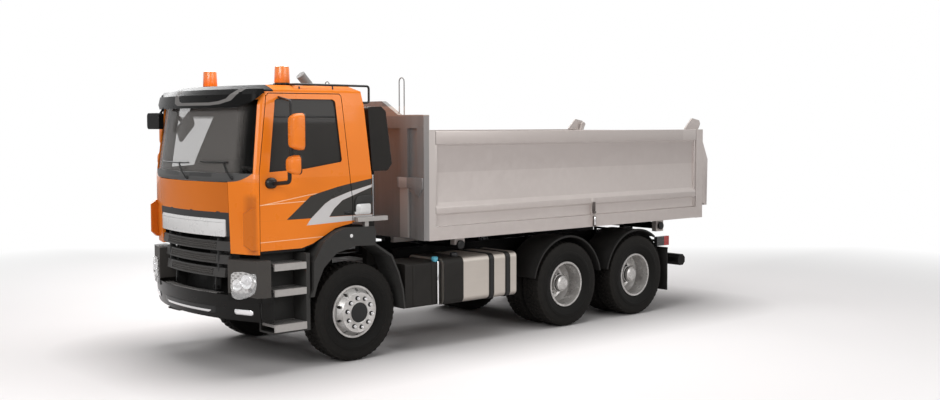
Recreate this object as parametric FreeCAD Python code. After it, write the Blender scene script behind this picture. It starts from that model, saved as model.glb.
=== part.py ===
import FreeCAD, Part
import math
import os

# Three-axle dump truck with a body that tips to the rear on a telescopic cylinder.
# Millimetres. +X is forward, +Y is the truck's left side, +Z is up, the ground is z = 0.
# Every shape is drawn with x = 0 at the front axle and moved at the end, so that the origin
# lies on the ground under the middle of the truck.

Vec = FreeCAD.Vector
AXIS_X = Vec(1, 0, 0)
AXIS_Y = Vec(0, 1, 0)
AXIS_Z = Vec(0, 0, 1)

# Overall chassis sizes
wheelbase = 3400.0
bogie_spacing = 1400.0
front_overhang = 1520.0
rear_overhang = 1580.0
overall_length = front_overhang + wheelbase + bogie_spacing + rear_overhang
bogie_centre = -wheelbase - bogie_spacing / 2
last_axle = -wheelbase - bogie_spacing
body_end = last_axle - rear_overhang

# Clearances
running_gap = 8.0
seat_gap = 0.3
pin_gap = 0.5

# Tyres and rims
tyre_radius = 562.0
tyre_width = 320.0
tread_half_width = 138.0
rim_seat_radius = 287.0
rim_flange_radius = 298.5
rim_half_width = 125.0
rim_wall = 12.0
front_track_half = 1025.0
dual_spacing = 350.0
rear_outer_half = 1088.0
rear_inner_half = rear_outer_half - dual_spacing
rear_mount_half = (rear_outer_half + rear_inner_half) / 2
hub_radius = 116.0
spindle_radius = 45.0
axle_end_radius = 61.0
front_hub_reach = 210.0
rear_hub_reach = 175.0
hub_cap_length = 75.0
front_disc_reach = 213.0
front_disc_face = 226.0
disc_sheet = 12.0
drum_radius = 212.0
drum_length = 180.0
drum_wall = 14.0
hand_hole_count = 10
hand_hole_circle = 252.0
hand_hole_radius = 18.0

# Front axle and steering
kingpin_half = 900.0
kingpin_radius = 22.0
axle_boss_radius = 48.0
axle_boss_half_height = 78.0
knuckle_lug = 46.0
steer_arm_length = 250.0
steer_arm_inset = 110.0
steer_arm_thickness = 30.0
tie_rod_radius = 19.0
beam_width = 95.0
beam_height = 110.0
beam_drop = 120.0
axle_case_radius = 85.0
axle_bowl_radius = 205.0
axle_bowl_offset = -60.0
spring_width = 80.0
front_spring_reach = 700.0

# Frame
rail_outer_half = 440.0
rail_flange = 80.0
rail_wall = 9.0
rail_height = 270.0
rail_top = 1030.0
rail_bottom = rail_top - rail_height
frame_front = 1370.0
frame_rear = body_end + 660.0
member_thickness = 10.0
drawbar_spacing_y = 160.0
drawbar_spacing_z = 100.0
drawbar_hole_radius = 10.5
subframe_height = 110.0
subframe_width = 80.0
subframe_top = rail_top + subframe_height
subframe_front = -1150.0
shaft_radius = 48.0
shaft_offset = -190.0
engine_top = 1500.0

# Tipping body
bed_half_width = 1275.0
bed_front = -919.0
corner_post_length = 87.0
side_post_length = 93.0
bed_inner_front = bed_front - corner_post_length
bed_rear_post = body_end + 136.0
post_length = 153.0
post_width = 125.0
floor_bottom = 1305.0
floor_top = 1465.0
floor_rear = body_end + 90.0
floor_plate = 12.0
floor_rail_width = 60.0
floor_rail_wall = 8.0
bearer_start = -1250.0
bearer_pitch = 470.0
bearer_count = int((bearer_start - bed_rear_post - post_length) // bearer_pitch) + 1
bearer_web = 12.0
bearer_foot = 60.0
gate_bottom = floor_top + running_gap
gate_top = 2605.0
gate_thickness = 60.0
gate_pin_y = 1245.0
gate_pin_z = 2570.0
gate_pin_radius = 14.0
gate_pin_reach = 60.0
latch_half = 28.0
latch_depth = 22.0
gate_latch_x = bogie_centre + 250.0
headboard_top = 2640.0
headboard_beam_top = 2800.0
headboard_peak = 2970.0
hoop_height = 447.0
hoop_half_width = 48.0
hoop_wire = 7.0
tip_x = body_end + 880.0
tip_z = 1205.0
tip_tube_radius = 50.0
tip_tube_half = 1100.0
tip_saddle_half = 1040.0
saddle_half_length = 40.0
front_saddle_x = -1640.0
tailgate_axis_x = body_end + 150.0
tailgate_axis_z = 2690.0
tailgate_pin_radius = 18.0

# Telescopic cylinder under the body: its two ends are at one distance from the tipping axis
cylinder_reach = 2500.0
trunnion_z = 930.0
ball_z = 1225.0
barrel_radius = 100.0
barrel_above = 70.0
barrel_below = 530.0
stage_wall = 10.0
stage_play = 0.6
stage_count = 4
stage_rise = 38.0
ball_radius = 45.0
ball_neck_radius = 26.0
trunnion_radius = 25.0
trunnion_half = 165.0

# Cab
cab_half_width = 1150.0
cab_wall = 60.0
cab_bottom = 1300.0
door_front = 1215.0
door_bottom = 1338.0
door_gap = 9.0
door_seal_overlap = 18.0
door_seal_depth = 14.0
cowl_bottom = 2075.0
cowl_top = 2165.0
roof_split = 3040.0
rear_split = -90.0
corner_half = 786.0
panel_gap = 4.0
flap_bottom = 1482.0
flap_thickness = 34.0
glass_thickness = 10.0
cab_tilt_x = 1350.0
cab_tilt_z = 905.0
cab_tilt_pin_radius = 18.0
cab_tilt_arm_half = 458.0
arch_floor_z = 1585.0
sheet = 30.0
visor_depth = 28.0
visor_low = roof_split - 172.0
visor_top = roof_split + 28.0
visor_corner = 1120.0
guide_half = 1082.0
guide_nose = 1383.0

# Line of the front guard's top, from the step well back to the cab's rear
guard_line = [
    (600.0, 1180.0), (470.0, 1392.0), (300.0, 1495.0), (180.0, 1530.0), (-400.0, 1530.0),
]
# Lower edge of the cab's side behind and under the door
sill_line = [
    (20.0, arch_floor_z), (130.0, 1565.0), (262.0, 1540.0), (425.0, 1455.0), (560.0, 1386.0),
    (705.0, 1345.0), (705.0, 1200.0),
]

# Levels of the cab's outer skin: z, rear x, half width, nose x, bow of the nose, corner start
cab_levels = [
    (1300.0, -255.0, 1150.0, 1470.0, 1.65e-4, 1090.0),
    (1741.0, -255.0, 1150.0, 1482.0, 1.60e-4, 1090.0),
    (2110.0, -250.0, 1150.0, 1505.0, 1.80e-4, 1095.0),
    (roof_split - 140.0, -180.0, 1104.0, 1389.0, 1.80e-4, 1045.0),
    (roof_split + 20.0, -150.0, 1085.0, 1330.0, 1.80e-4, 1010.0),
    (roof_split + 75.0, -70.0, 960.0, 1190.0, 1.80e-4, 880.0),
]
belt_level = 2110.0

door_outline = [
    (door_front, door_bottom), (door_front, 2160.0), (1092.0, roof_split - 50.0),
    (1060.0, roof_split - 22.0), (150.0, roof_split - 18.0), (128.0, roof_split - 40.0),
    (50.0, 2061.0), (20.0, 1834.0), (20.0, 1572.0),
    (124.0, 1556.0), (255.0, 1530.0), (416.0, 1448.0), (551.0, 1380.0), (700.0, door_bottom),
]
window_outline = [
    (1096.0, 2178.0), (990.0, roof_split - 96.0), (962.0, roof_split - 76.0),
    (240.0, roof_split - 76.0), (208.0, roof_split - 99.0), (150.0, 2290.0),
    (165.0, 2268.0), (640.0, 2202.0),
]
windscreen_outline = [
    (-1110.0, cowl_top), (1110.0, cowl_top), (1062.0, roof_split - 85.0),
    (-1062.0, roof_split - 85.0),
]


def box(x0, x1, y0, y1, z0, z1):
    return Part.makeBox(x1 - x0, y1 - y0, z1 - z0, Vec(x0, y0, z0))


def rod(x, y, z, radius, length, axis):
    return Part.makeCylinder(radius, length, Vec(x, y, z), axis)


def rod_y(x, z, radius, y0, y1):
    return rod(x, y0, z, radius, y1 - y0, AXIS_Y)


def rod_x(y, z, radius, x0, x1):
    return rod(x0, y, z, radius, x1 - x0, AXIS_X)


def rod_between(start, end, radius):
    way = end - start
    return Part.makeCylinder(radius, way.Length, start, way)


def bent_tube(points, radius, bend):
    """Round tube through points, with a tangent arc of one radius at each bend."""
    edges = []
    last = points[0]
    for before, corner, after in zip(points, points[1:], points[2:]):
        way_in = corner - before
        way_in.normalize()
        way_out = after - corner
        way_out.normalize()
        half_turn = way_in.getAngle(way_out) / 2
        trim = bend * math.tan(half_turn)
        inward = way_out - way_in
        inward.normalize()
        centre = corner + inward * (bend / math.cos(half_turn))
        start = corner - way_in * trim
        end = corner + way_out * trim
        edges.append(Part.makeLine(last, start))
        edges.append(Part.Arc(start, centre - inward * bend, end).toShape())
        last = end
    edges.append(Part.makeLine(last, points[-1]))
    ring = Part.Wire(Part.makeCircle(radius, points[0], points[1] - points[0]))
    return Part.Wire(edges).makePipeShell([ring], True, False)


def prism(points, normal, start, end):
    """Closed outline in the plane across `normal`, drawn from start to end along it."""
    if normal == "y":
        corners = [Vec(a, start, b) for a, b in points]
        way = Vec(0, end - start, 0)
    elif normal == "x":
        corners = [Vec(start, a, b) for a, b in points]
        way = Vec(end - start, 0, 0)
    else:
        corners = [Vec(a, b, start) for a, b in points]
        way = Vec(0, 0, end - start)
    return Part.Face(Part.makePolygon(corners + corners[:1])).extrude(way)


def turned(profile, x, z, outward=1.0, centre_y=0.0):
    """Ring about the Y axis from (offset, radius) points, offset measured outward."""
    corners = [Vec(x, centre_y + outward * offset, z + radius) for offset, radius in profile]
    face = Part.Face(Part.makePolygon(corners + corners[:1]))
    return face.revolve(Vec(x, centre_y, z), AXIS_Y, 360)


def mirrored(shape):
    return shape.mirror(Vec(0, 0, 0), AXIS_Y)


def both(shape):
    return [shape, mirrored(shape)]


def fuse(shapes):
    if len(shapes) == 1:
        return shapes[0]
    return shapes[0].multiFuse(shapes[1:]).removeSplitter()


def cut_all(shape, tools):
    for tool in tools:
        shape = shape.cut(tool)
    return shape


def group(shapes):
    """Solids that do not touch, kept apart in one node."""
    solids = []
    for shape in shapes:
        solids.extend(shape.Solids)
    return Part.makeCompound(solids)


def along(axis):
    """Test for straight edges that run along one axis."""
    def test(edge):
        if not isinstance(edge.Curve, Part.Line):
            return False
        way = edge.tangentAt(edge.FirstParameter)
        return abs(abs(way.dot(axis)) - 1) < 1e-6
    return test


def rounded(shape, radius, chosen):
    return shape.makeFillet(radius, [edge for edge in shape.Edges if chosen(edge)])


def bowed_wire(nose, bow, half, depth, z):
    """Plan outline of a strip that bows forward: its middle leads, its ends trail."""
    end_x = nose - bow * half * half
    front = Part.Arc(Vec(end_x, -half, z), Vec(nose, 0, z), Vec(end_x, half, z)).toShape()
    back = Part.Arc(Vec(end_x - depth, half, z), Vec(nose - depth, 0, z),
                    Vec(end_x - depth, -half, z)).toShape()
    left = Part.makeLine(Vec(end_x, half, z), Vec(end_x - depth, half, z))
    right = Part.makeLine(Vec(end_x - depth, -half, z), Vec(end_x, -half, z))
    return Part.Wire([front, left, back, right])


def bowed_band(levels, bow, depth):
    """Strip through (z, nose, half width) levels."""
    wires = [bowed_wire(nose, bow, half, depth, z) for z, nose, half in levels]
    return Part.makeLoft(wires, True, True)


def bow_x(nose, bow, y):
    return nose - bow * y * y


# Cab skin

def cab_wire(level, inset):
    z, rear, half, nose, bow, corner = level
    half -= inset
    corner -= inset
    nose -= inset
    rear += inset
    front_x = bow_x(nose, bow, corner)
    side_start = bow_x(nose, bow, half) - 45.0
    mid_x = (front_x + side_start) / 2 + 12.0
    mid_y = (corner + half) / 2 + 10.0
    left_front = Vec(front_x, corner, z)
    left_side = Vec(side_start, half, z)
    right_front = Vec(front_x, -corner, z)
    right_side = Vec(side_start, -half, z)
    edges = [
        Part.makeLine(Vec(rear, -half, z), Vec(rear, half, z)),
        Part.makeLine(Vec(rear, half, z), left_side),
        Part.Arc(left_side, Vec(mid_x, mid_y, z), left_front).toShape(),
        Part.Arc(left_front, Vec(nose, 0, z), right_front).toShape(),
        Part.Arc(right_front, Vec(mid_x, -mid_y, z), right_side).toShape(),
        Part.makeLine(right_side, Vec(rear, -half, z)),
    ]
    return Part.Wire(edges)


def cab_volume(inset, drop=0.0):
    """Space inside the cab's skin, moved inward by inset; drop lowers the roof."""
    wires = []
    for level in cab_levels:
        z = level[0]
        if z > belt_level:
            level = (z - drop,) + level[1:]
        wires.append(cab_wire(level, inset))
    return Part.makeLoft(wires, True, True)


def grown(points, amount):
    """Outline moved outward by an amount, with its corners kept sharp."""
    face = Part.Face(Part.makePolygon([Vec(a, b, 0) for a, b in points + points[:1]]))
    wire = face.makeOffset2D(amount, 2).OuterWire
    return [(vertex.X, vertex.Y) for vertex in wire.OrderedVertexes]


def windscreen_zone(edge):
    """Space of the windscreen opening, each side moved outward by edge."""
    pane = prism(grown(windscreen_outline, edge), "x", 1000.0, 1700.0)
    top = roof_split - 40.0
    ahead = prism([(1172.0 - edge, 2050.0), (1700.0, 2050.0), (1700.0, top),
                   (1044.0 - edge, top)], "y", -1300.0, 1300.0)
    return pane.common(ahead)


def cab_panels():
    """Hollow cab, split where its panels meet."""
    outer = cab_volume(0.0)
    inner = cab_volume(cab_wall, 50.0)
    shell = outer.cut(inner)
    door_zone = prism(door_outline, "y", 900.0, 1300.0)
    door_hole = prism(grown(door_outline, door_gap), "y", 900.0, 1300.0)
    window_hole = prism(window_outline, "y", 900.0, 1300.0)
    parts = {}

    parts["cab_roof"] = shell.common(
        box(-400.0, 1700.0, -1300.0, 1300.0, roof_split, roof_split + 260.0))
    parts["cab_rear_wall"] = shell.common(
        box(-400.0, rear_split, -1300.0, 1300.0, arch_floor_z, roof_split))

    side = shell.common(box(rear_split, 1700.0, 0.0, 1300.0, cab_bottom, roof_split))
    front_hole = box(1222.0, 1700.0, -1300.0, 1300.0, 1200.0, cowl_top)
    under_arch = prism([(x + 5.0, z + 6.0) for x, z in guard_line] + [(-400.0, 1200.0)],
                       "y", -1300.0, 1300.0)
    under_door = prism([(-400.0, 1200.0), (-400.0, arch_floor_z)] + sill_line,
                       "y", -1300.0, 1300.0)
    side = cut_all(side, [door_hole, front_hole, windscreen_zone(0.0), under_door,
                          box(700.0, 1700.0, -1.0, 1.0, 1200.0, roof_split)])
    side = max(side.Solids, key=lambda solid: solid.Volume)
    inside_face = cab_wall + seat_gap
    seal = cab_volume(inside_face, 50.0).cut(cab_volume(inside_face + door_seal_depth, 60.0))
    ring = prism(grown(door_outline, door_gap + 25.0), "y", 900.0, 1300.0).cut(
        prism(grown(door_outline, -door_seal_overlap), "y", 900.0, 1300.0))
    hinge_side = box(door_front - 70.0, door_front + 4.0, 1000.0, 1200.0, door_bottom,
                     cowl_top + 135.0)
    seal = cut_all(seal.common(ring), [windscreen_zone(0.0), front_hole, under_arch, hinge_side])
    seal = max(seal.Solids, key=lambda solid: solid.Volume)
    parts["cab_sides"] = group(both(side.fuse(seal)))

    pane_band = cab_volume(14.0, 12.0).cut(cab_volume(14.0 + glass_thickness, 22.0))
    parts["windscreen"] = pane_band.common(windscreen_zone(-seat_gap))

    cowl = shell.common(box(1222.0, 1700.0, -1300.0, 1300.0, cowl_bottom, cowl_top - seat_gap))
    parts["windscreen_cowl"] = cowl

    corner = shell.common(
        box(1222.0, 1700.0, corner_half + panel_gap / 2, 1300.0, cab_bottom, cowl_bottom - seat_gap))
    parts["corner_panels"] = group(both(air_guide(corner)))

    flap_shell = outer.cut(cab_volume(flap_thickness))
    flap_half = corner_half - panel_gap / 2 - 2.0
    parts["front_flap"] = flap_shell.common(
        box(1222.0, 1700.0, -flap_half, flap_half, flap_bottom, cowl_bottom - running_gap))

    door = shell.common(door_zone).cut(window_hole)
    parts["door_left"] = door
    parts["door_right"] = mirrored(door)
    glass = cab_volume(20.0, 15.0).cut(cab_volume(20.0 + glass_thickness, 25.0))
    glass = glass.common(prism(grown(window_outline, -seat_gap), "y", 900.0, 1300.0))
    parts["door_glass_left"] = glass
    parts["door_glass_right"] = mirrored(glass)
    return parts


def air_guide(corner):
    """Corner panel with the blade that leads air round it and the channel inside the blade."""
    side = cab_half_width - 1.0
    blade = prism([(door_front + 9.0, side), (1300.0, 1130.0), (guide_nose, guide_half),
                   (guide_nose - 8.0, guide_half - 16.0), (1290.0, 1076.0), (1230.0, 1096.0)],
                  "z", 1352.0, 1800.0)
    ends = prism([(1200.0, 1352.0), (1305.0, 1352.0), (guide_nose + 1.0, 1413.0),
                  (guide_nose + 1.0, 1740.0), (1290.0, 1800.0), (1200.0, 1800.0)],
                 "y", 1000.0, 1200.0)
    channel = prism([(1420.0, 905.0), (1352.0, 905.0), (1296.0, 1040.0), (1290.0, 1076.0),
                     (1420.0, 1076.0)], "z", 1380.0, 1752.0)
    return fuse([corner.cut(channel), blade.common(ends)])


def cab_floor():
    """Footwells, engine tunnel, front bulkhead with its flap stops, and the tilt arms."""
    inside = cab_half_width
    back = -255.0 + cab_wall + seat_gap
    deck_top = arch_floor_z + sheet
    footwell = box(640.0, 1290.0, 420.0, inside, cab_bottom, cab_bottom + sheet)
    riser = box(610.0, 640.0, 420.0, inside, cab_bottom, deck_top)
    deck = box(back, 610.0, 420.0, inside, arch_floor_z, deck_top)
    tunnel = box(back, 1290.0, -450.0, 450.0, arch_floor_z, deck_top)
    tunnel_side = box(610.0, 1290.0, 420.0, 450.0, cab_bottom, arch_floor_z)
    bulkhead = box(1290.0, 1330.0, -785.0, 785.0, cab_bottom, cowl_bottom - 20.0).cut(
        box(1280.0, 1340.0, -420.0, 420.0, cab_bottom, arch_floor_z))
    shapes = [tunnel, bulkhead]
    for half in (footwell, riser, deck, tunnel_side):
        shapes += both(half)
    floor = fuse(shapes).common(cab_volume(cab_wall + door_seal_depth + 2 * seat_gap))
    stops = []
    for z in (1600.0, 1960.0):
        stops += both(rod(1329.0, 600.0, z, 16.0, 200.0, AXIS_X))
    stops = [stop.common(cab_volume(flap_thickness + seat_gap)) for stop in stops]
    arm_half = 12.0
    arm = prism([(cab_tilt_x - 34.0, cab_tilt_z - 30.0), (cab_tilt_x + 28.0, cab_tilt_z - 30.0),
                 (cab_tilt_x + 28.0, cab_tilt_z + 60.0), (1330.0, cab_bottom),
                 (1330.0, cab_bottom + 60.0), (1289.0, cab_bottom + 60.0), (1289.0, cab_bottom)],
                "y", cab_tilt_arm_half - arm_half, cab_tilt_arm_half + arm_half)
    arm = arm.cut(rod_y(cab_tilt_x, cab_tilt_z, cab_tilt_pin_radius + pin_gap, 0.0, 600.0))
    return fuse([floor] + stops + both(arm))


def cab_interior():
    dash = prism([(1290.0, 1700.0), (1290.0, 2050.0), (1210.0, 2075.0), (1010.0, 2060.0),
                  (930.0, 1960.0), (930.0, 1860.0), (1060.0, 1700.0)], "y", -1080.0, 1080.0)
    dash = dash.common(cab_volume(cab_wall + door_seal_depth + 6.0, 60.0))
    hub = Vec(845.0, 560.0, 2080.0)
    column = rod_between(Vec(1040.0, 560.0, 1800.0), hub, 35.0)
    wheel_axis = Vec(-195.0, 0.0, 280.0)
    wheel_axis.normalize()
    rim = Part.makeTorus(225.0, 17.0, hub, wheel_axis)
    spokes = Part.makeCylinder(215.0, 14.0, hub - wheel_axis * 7.0, wheel_axis).cut(
        Part.makeCylinder(190.0, 30.0, hub - wheel_axis * 15.0, wheel_axis))
    bar = box(hub.x - 215.0, hub.x + 215.0, hub.y - 22.0, hub.y + 22.0, hub.z - 7.0, hub.z + 7.0)
    tilt = math.degrees(math.atan2(wheel_axis.x, wheel_axis.z))
    bar.rotate(hub, AXIS_Y, tilt)
    dash = fuse([dash, column, rim, spokes, bar])
    floor = arch_floor_z + sheet + seat_gap
    base = box(150.0, 560.0, 340.0, 780.0, floor, 1850.0)
    cushion = rounded(box(90.0, 640.0, 300.0, 820.0, 1850.0, 2000.0), 40.0, along(AXIS_Y))
    back = prism([(90.0, 1960.0), (200.0, 1960.0), (90.0, 2560.0), (0.0, 2560.0)],
                 "y", 310.0, 810.0)
    head = prism([(20.0, 2560.0), (80.0, 2560.0), (60.0, 2760.0), (0.0, 2760.0)],
                 "y", 440.0, 680.0)
    seat = fuse([base, cushion, back, head])
    return group([dash] + both(seat))


def sun_visor():
    """Bowed visor over the windscreen, with the front mirror's arm on its right end."""
    rear = 900.0
    levels = [(visor_low, rear, 1130.0, 1474.0, 1.7e-4, 1040.0),
              (roof_split - 30.0, rear, 1112.0, 1440.0, 1.7e-4, 1024.0),
              (visor_top, rear, 1092.0, 1385.0, 1.7e-4, 1004.0)]
    outer = Part.makeLoft([cab_wire(level, 0.0) for level in levels], True, True)
    inner = Part.makeLoft([cab_wire(level, visor_depth) for level in levels], True, True)
    visor = outer.cut(inner).common(
        box(visor_corner, 1600.0, -1200.0, 1200.0, visor_low, visor_top))
    below = prism([(1000.0, visor_low - 10.0), (1345.0, visor_low - 10.0), (1345.0, visor_low),
                   (1140.0, roof_split - 20.0), (1000.0, roof_split - 20.0)],
                  "y", 900.0, 1250.0)
    visor = cut_all(visor, both(below))
    brackets = both(box(1150.0, 1300.0, 880.0, 910.0, roof_split - 40.0, roof_split - 6.0))
    arm = rod_between(Vec(1442.0, -690.0, roof_split - 240.0),
                      Vec(1378.0, -700.0, visor_low + 14.0), 14.0)
    glass = rounded(box(1412.0, 1474.0, -945.0, -640.0, roof_split - 404.0,
                        roof_split - 216.0), 40.0, along(AXIS_X))
    return fuse([visor, arm, glass] + brackets).cut(cab_volume(-seat_gap))


def roof_beacons():
    beacons = []
    for y in (810.0, -810.0):
        base = rod(714.0, y, roof_split + 40.0, 82.0, 62.0, AXIS_Z)
        dome = Part.makeCone(78.0, 64.0, 190.0, Vec(714.0, y, roof_split + 102.0), AXIS_Z)
        beacons.append(fuse([base, dome]).cut(cab_volume(0.0)))
    return group(beacons)


def roof_rails():
    """Tube along each roof edge on short feet, bent down to the rear wall."""
    def rail(y):
        top = roof_split + 115.0
        low = roof_split - 105.0
        back = -310.0
        start = roof_split - 20.0
        points = [Vec(1130.0, y, start), Vec(1060.0, y, top), Vec(back, y, top),
                  Vec(back, y, low), Vec(-140.0, y, low)]
        tube = bent_tube(points, 15.0, 60.0)
        foot = rod(400.0, y, start, 11.0, top - start, AXIS_Z)
        return fuse([tube, foot]).cut(cab_volume(0.0))
    return group([rail(1040.0), rail(-1040.0)])


def lower_grille():
    """Three bowed slats on two uprights in front of the cab's bulkhead."""
    slats = ((1330.0, 1472.0, 770.0, 130.0), (1176.0, 1455.0, 720.0, 120.0),
             (1018.0, 1461.0, 680.0, 110.0))
    shapes = []
    for bottom, nose, half, height in slats:
        shapes.append(bowed_band([(bottom, nose, half), (bottom + height, nose, half)],
                                 1.7e-4, 40.0))
    for upright in both(box(1330.0, 1410.0, 545.0, 575.0, 1020.0, 1455.0)):
        shapes.append(upright)
    return fuse(shapes)


def door_mirror():
    inner = 1385.0
    outer = 1565.0
    housing = rounded(box(905.0, 1035.0, inner, outer, 2416.0, 2806.0), 30.0, along(AXIS_Y))
    small = rounded(box(958.0, 1066.0, inner, outer, 2160.0, 2366.0), 30.0, along(AXIS_Y))
    stem = Vec(1008.0, 1440.0, 0.0)
    joiner = box(stem.x - 20.0, stem.x + 20.0, stem.y - 15.0, stem.y + 15.0, 2350.0, 2430.0)
    upper = bent_tube([Vec(932.0, 1040.0, 2984.0), stem + Vec(0.0, 0.0, 2935.0),
                       stem + Vec(0.0, 0.0, 2780.0)], 16.0, 50.0)
    lower = bent_tube([Vec(1075.0, 1110.0, 2040.0), stem + Vec(20.0, 0.0, 2092.0),
                       stem + Vec(20.0, 0.0, 2200.0)], 16.0, 40.0)
    shape = fuse([housing, small, joiner, upper, lower])
    return shape.cut(cab_volume(0.0))


# Chassis

def shaft_line():
    start = Vec(-900.0, -60.0, 800.0)
    end = Vec(-wheelbase + 235.0, shaft_offset, tyre_radius + 50.0)
    return start, end


def frame_rails():
    outer = rail_outer_half
    web = box(frame_rear, frame_front, outer - rail_wall, outer, rail_bottom, rail_top)
    upper = box(frame_rear, frame_front, outer - rail_flange, outer, rail_top - rail_wall, rail_top)
    lower = box(frame_rear, frame_front, outer - rail_flange, outer, rail_bottom,
                rail_bottom + rail_wall)
    pin = rod_y(cab_tilt_x, cab_tilt_z, cab_tilt_pin_radius, outer - rail_wall,
                cab_tilt_arm_half + 20.0)
    pad = rod_y(cab_tilt_x, cab_tilt_z, 40.0, outer - rail_wall, outer + 4.0).common(
        box(0.0, frame_front + 20.0, 0.0, 600.0, 0.0, rail_top))
    return group(both(fuse([web, upper, lower, pin, pad])))


def cross_members():
    """Webs between the rails, the cylinder's cradle, the cab's rear rest and the drawbar plate."""
    inside = rail_outer_half - rail_wall
    low = rail_bottom + rail_wall
    high = rail_top - rail_wall
    half_thickness = member_thickness / 2
    start, end = shaft_line()
    way = end - start
    way.normalize()
    passage = Part.makeCylinder(shaft_radius + 16.0, (end - start).Length, start, way)
    members = []
    for x in (1250.0, -1050.0, 1200.0 - wheelbase, bogie_centre, frame_rear + 370.0):
        web = box(x - half_thickness, x + half_thickness, -inside, inside, low, high)
        members.append(web.cut(passage))
    plate = box(frame_rear, frame_rear + member_thickness, -inside, inside, low, high)
    middle = (low + high) / 2
    for y in (-drawbar_spacing_y / 2, drawbar_spacing_y / 2):
        for z in (middle - drawbar_spacing_z / 2, middle + drawbar_spacing_z / 2):
            plate = plate.cut(rod(frame_rear - 5.0, y, z, drawbar_hole_radius, 30.0, AXIS_X))
    members.append(plate)
    x, z = trunnion_place()
    for half in both(box(x - 45.0, x + 45.0, 130.0, inside, z - 60.0, z + 60.0)):
        members.append(half.cut(rod_y(x, z, trunnion_radius + pin_gap, -200.0, 200.0)))
    rest_top = arch_floor_z - seat_gap
    beam = box(-190.0, -110.0, -inside, inside, engine_top + 15.0, rest_top)
    legs = both(box(-190.0, -110.0, inside - 70.0, inside, rail_top, rest_top))
    members.append(fuse([beam] + legs))
    return group(members)


def trunnion_place():
    drop = trunnion_z - tip_z
    return tip_x + math.sqrt(cylinder_reach ** 2 - drop ** 2), trunnion_z


def ball_place():
    rise = ball_z - tip_z
    return tip_x + math.sqrt(cylinder_reach ** 2 - rise ** 2), ball_z


def tipper_subframe():
    """Rails on the frame that carry the tipping tube and the body's front rest."""
    outer = rail_outer_half
    inner = outer - subframe_width
    shapes = both(box(tip_x - 150.0, subframe_front, inner, outer, rail_top + seat_gap,
                      subframe_top))
    for x in (tip_x, front_saddle_x):
        shapes.append(rod_y(x, tip_z, tip_tube_radius, -tip_tube_half, tip_tube_half))
        shapes += both(box(x - 60.0, x + 60.0, inner, outer, subframe_top, tip_z - 20.0))
    return fuse(shapes)


def leaf_spring(x, seat_z, half_length, y):
    """Curved pack of leaves from its seat up to the rail at both ends."""
    rise = rail_bottom - seat_z - seat_gap
    side = y - spring_width / 2
    thick = 90.0
    tip = 24.0

    def point(dx, dz):
        return Vec(x + dx, side, seat_z + dz)
    low = Part.Arc(point(-half_length, rise - tip), point(0, 0),
                   point(half_length, rise - tip)).toShape()
    right = Part.makeLine(point(half_length, rise - tip), point(half_length, rise))
    high = Part.Arc(point(half_length, rise), point(0, thick), point(-half_length, rise)).toShape()
    left = Part.makeLine(point(-half_length, rise), point(-half_length, rise - tip))
    return Part.Face(Part.Wire([low, right, high, left])).extrude(Vec(0, spring_width, 0))


def front_axle():
    z = tyre_radius
    half = kingpin_half
    low = z - beam_drop
    top = low + beam_height
    front = [(-half, z - 60.0), (-half + 120.0, z - 60.0), (-560.0, low), (560.0, low),
             (half - 120.0, z - 60.0), (half, z - 60.0), (half, z + 50.0), (half - 110.0, z + 50.0),
             (520.0, top), (-520.0, top), (-half + 110.0, z + 50.0), (-half, z + 50.0)]
    shapes = [prism(front, "x", -beam_width / 2, beam_width / 2)]
    for y in (-half, half):
        shapes.append(rod(0.0, y, z - axle_boss_half_height, axle_boss_radius,
                          2 * axle_boss_half_height, AXIS_Z))
    shapes += both(leaf_spring(0.0, top - 4.0, front_spring_reach, rail_outer_half - spring_width / 2))
    beam = fuse(shapes)
    for y in (-half, half):
        beam = beam.cut(rod(0.0, y, z - 200.0, kingpin_radius + pin_gap, 400.0, AXIS_Z))
    return beam


def knuckle():
    z = tyre_radius
    boss = axle_boss_half_height + 6.0
    low = z - boss - knuckle_lug
    high = z + boss + knuckle_lug
    plate = box(-60.0, 60.0, kingpin_half + 60.0, kingpin_half + 95.0, low, high)
    upper = box(-50.0, 50.0, kingpin_half - 50.0, kingpin_half + 60.0, z + boss, high)
    lower = box(-50.0, 50.0, kingpin_half - 50.0, kingpin_half + 60.0, low, z - boss)
    pin = rod(0.0, kingpin_half, z - boss - 10.0, kingpin_radius, 2 * boss + 20.0, AXIS_Z)
    spindle = rod_y(0.0, z, spindle_radius, kingpin_half + 95.0, front_track_half + 60.0)
    end_x = -steer_arm_length - 30.0
    end_y = kingpin_half - steer_arm_inset
    arm = prism([(40.0, kingpin_half + 30.0), (40.0, kingpin_half - 40.0),
                 (end_x, end_y - 30.0), (end_x, end_y + 30.0), (-40.0, kingpin_half + 40.0)],
                "z", low, low + steer_arm_thickness)
    return fuse([plate, upper, lower, pin, spindle, arm])


def tie_rod():
    z = tyre_radius - axle_boss_half_height - 6.0 - knuckle_lug - tie_rod_radius - seat_gap
    reach = kingpin_half - steer_arm_inset
    return rod_y(-steer_arm_length, z, tie_rod_radius, -reach, reach)


def tyre(x, outward, centre):
    wall = tyre_width / 2
    bead = rim_half_width - rim_wall - seat_gap
    half = [(bead, rim_seat_radius), (bead, rim_flange_radius + 2.0),
            (wall - 8.0, 370.0), (wall, 440.0), (wall - 6.0, 500.0),
            (tread_half_width + 8.0, 541.0), (tread_half_width - 8.0, 556.0), (70.0, tyre_radius)]
    profile = half + [(-offset, radius) for offset, radius in reversed(half)]
    return turned(profile, x, tyre_radius, outward, outward * centre)


def rim_barrel():
    half = rim_half_width
    seat = rim_seat_radius - seat_gap
    return [(-half, rim_flange_radius), (-half + rim_wall, rim_flange_radius),
            (-half + rim_wall, seat), (half - rim_wall, seat),
            (half - rim_wall, rim_flange_radius), (half, rim_flange_radius),
            (half, seat - rim_wall), (-half, seat - rim_wall)]


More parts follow.
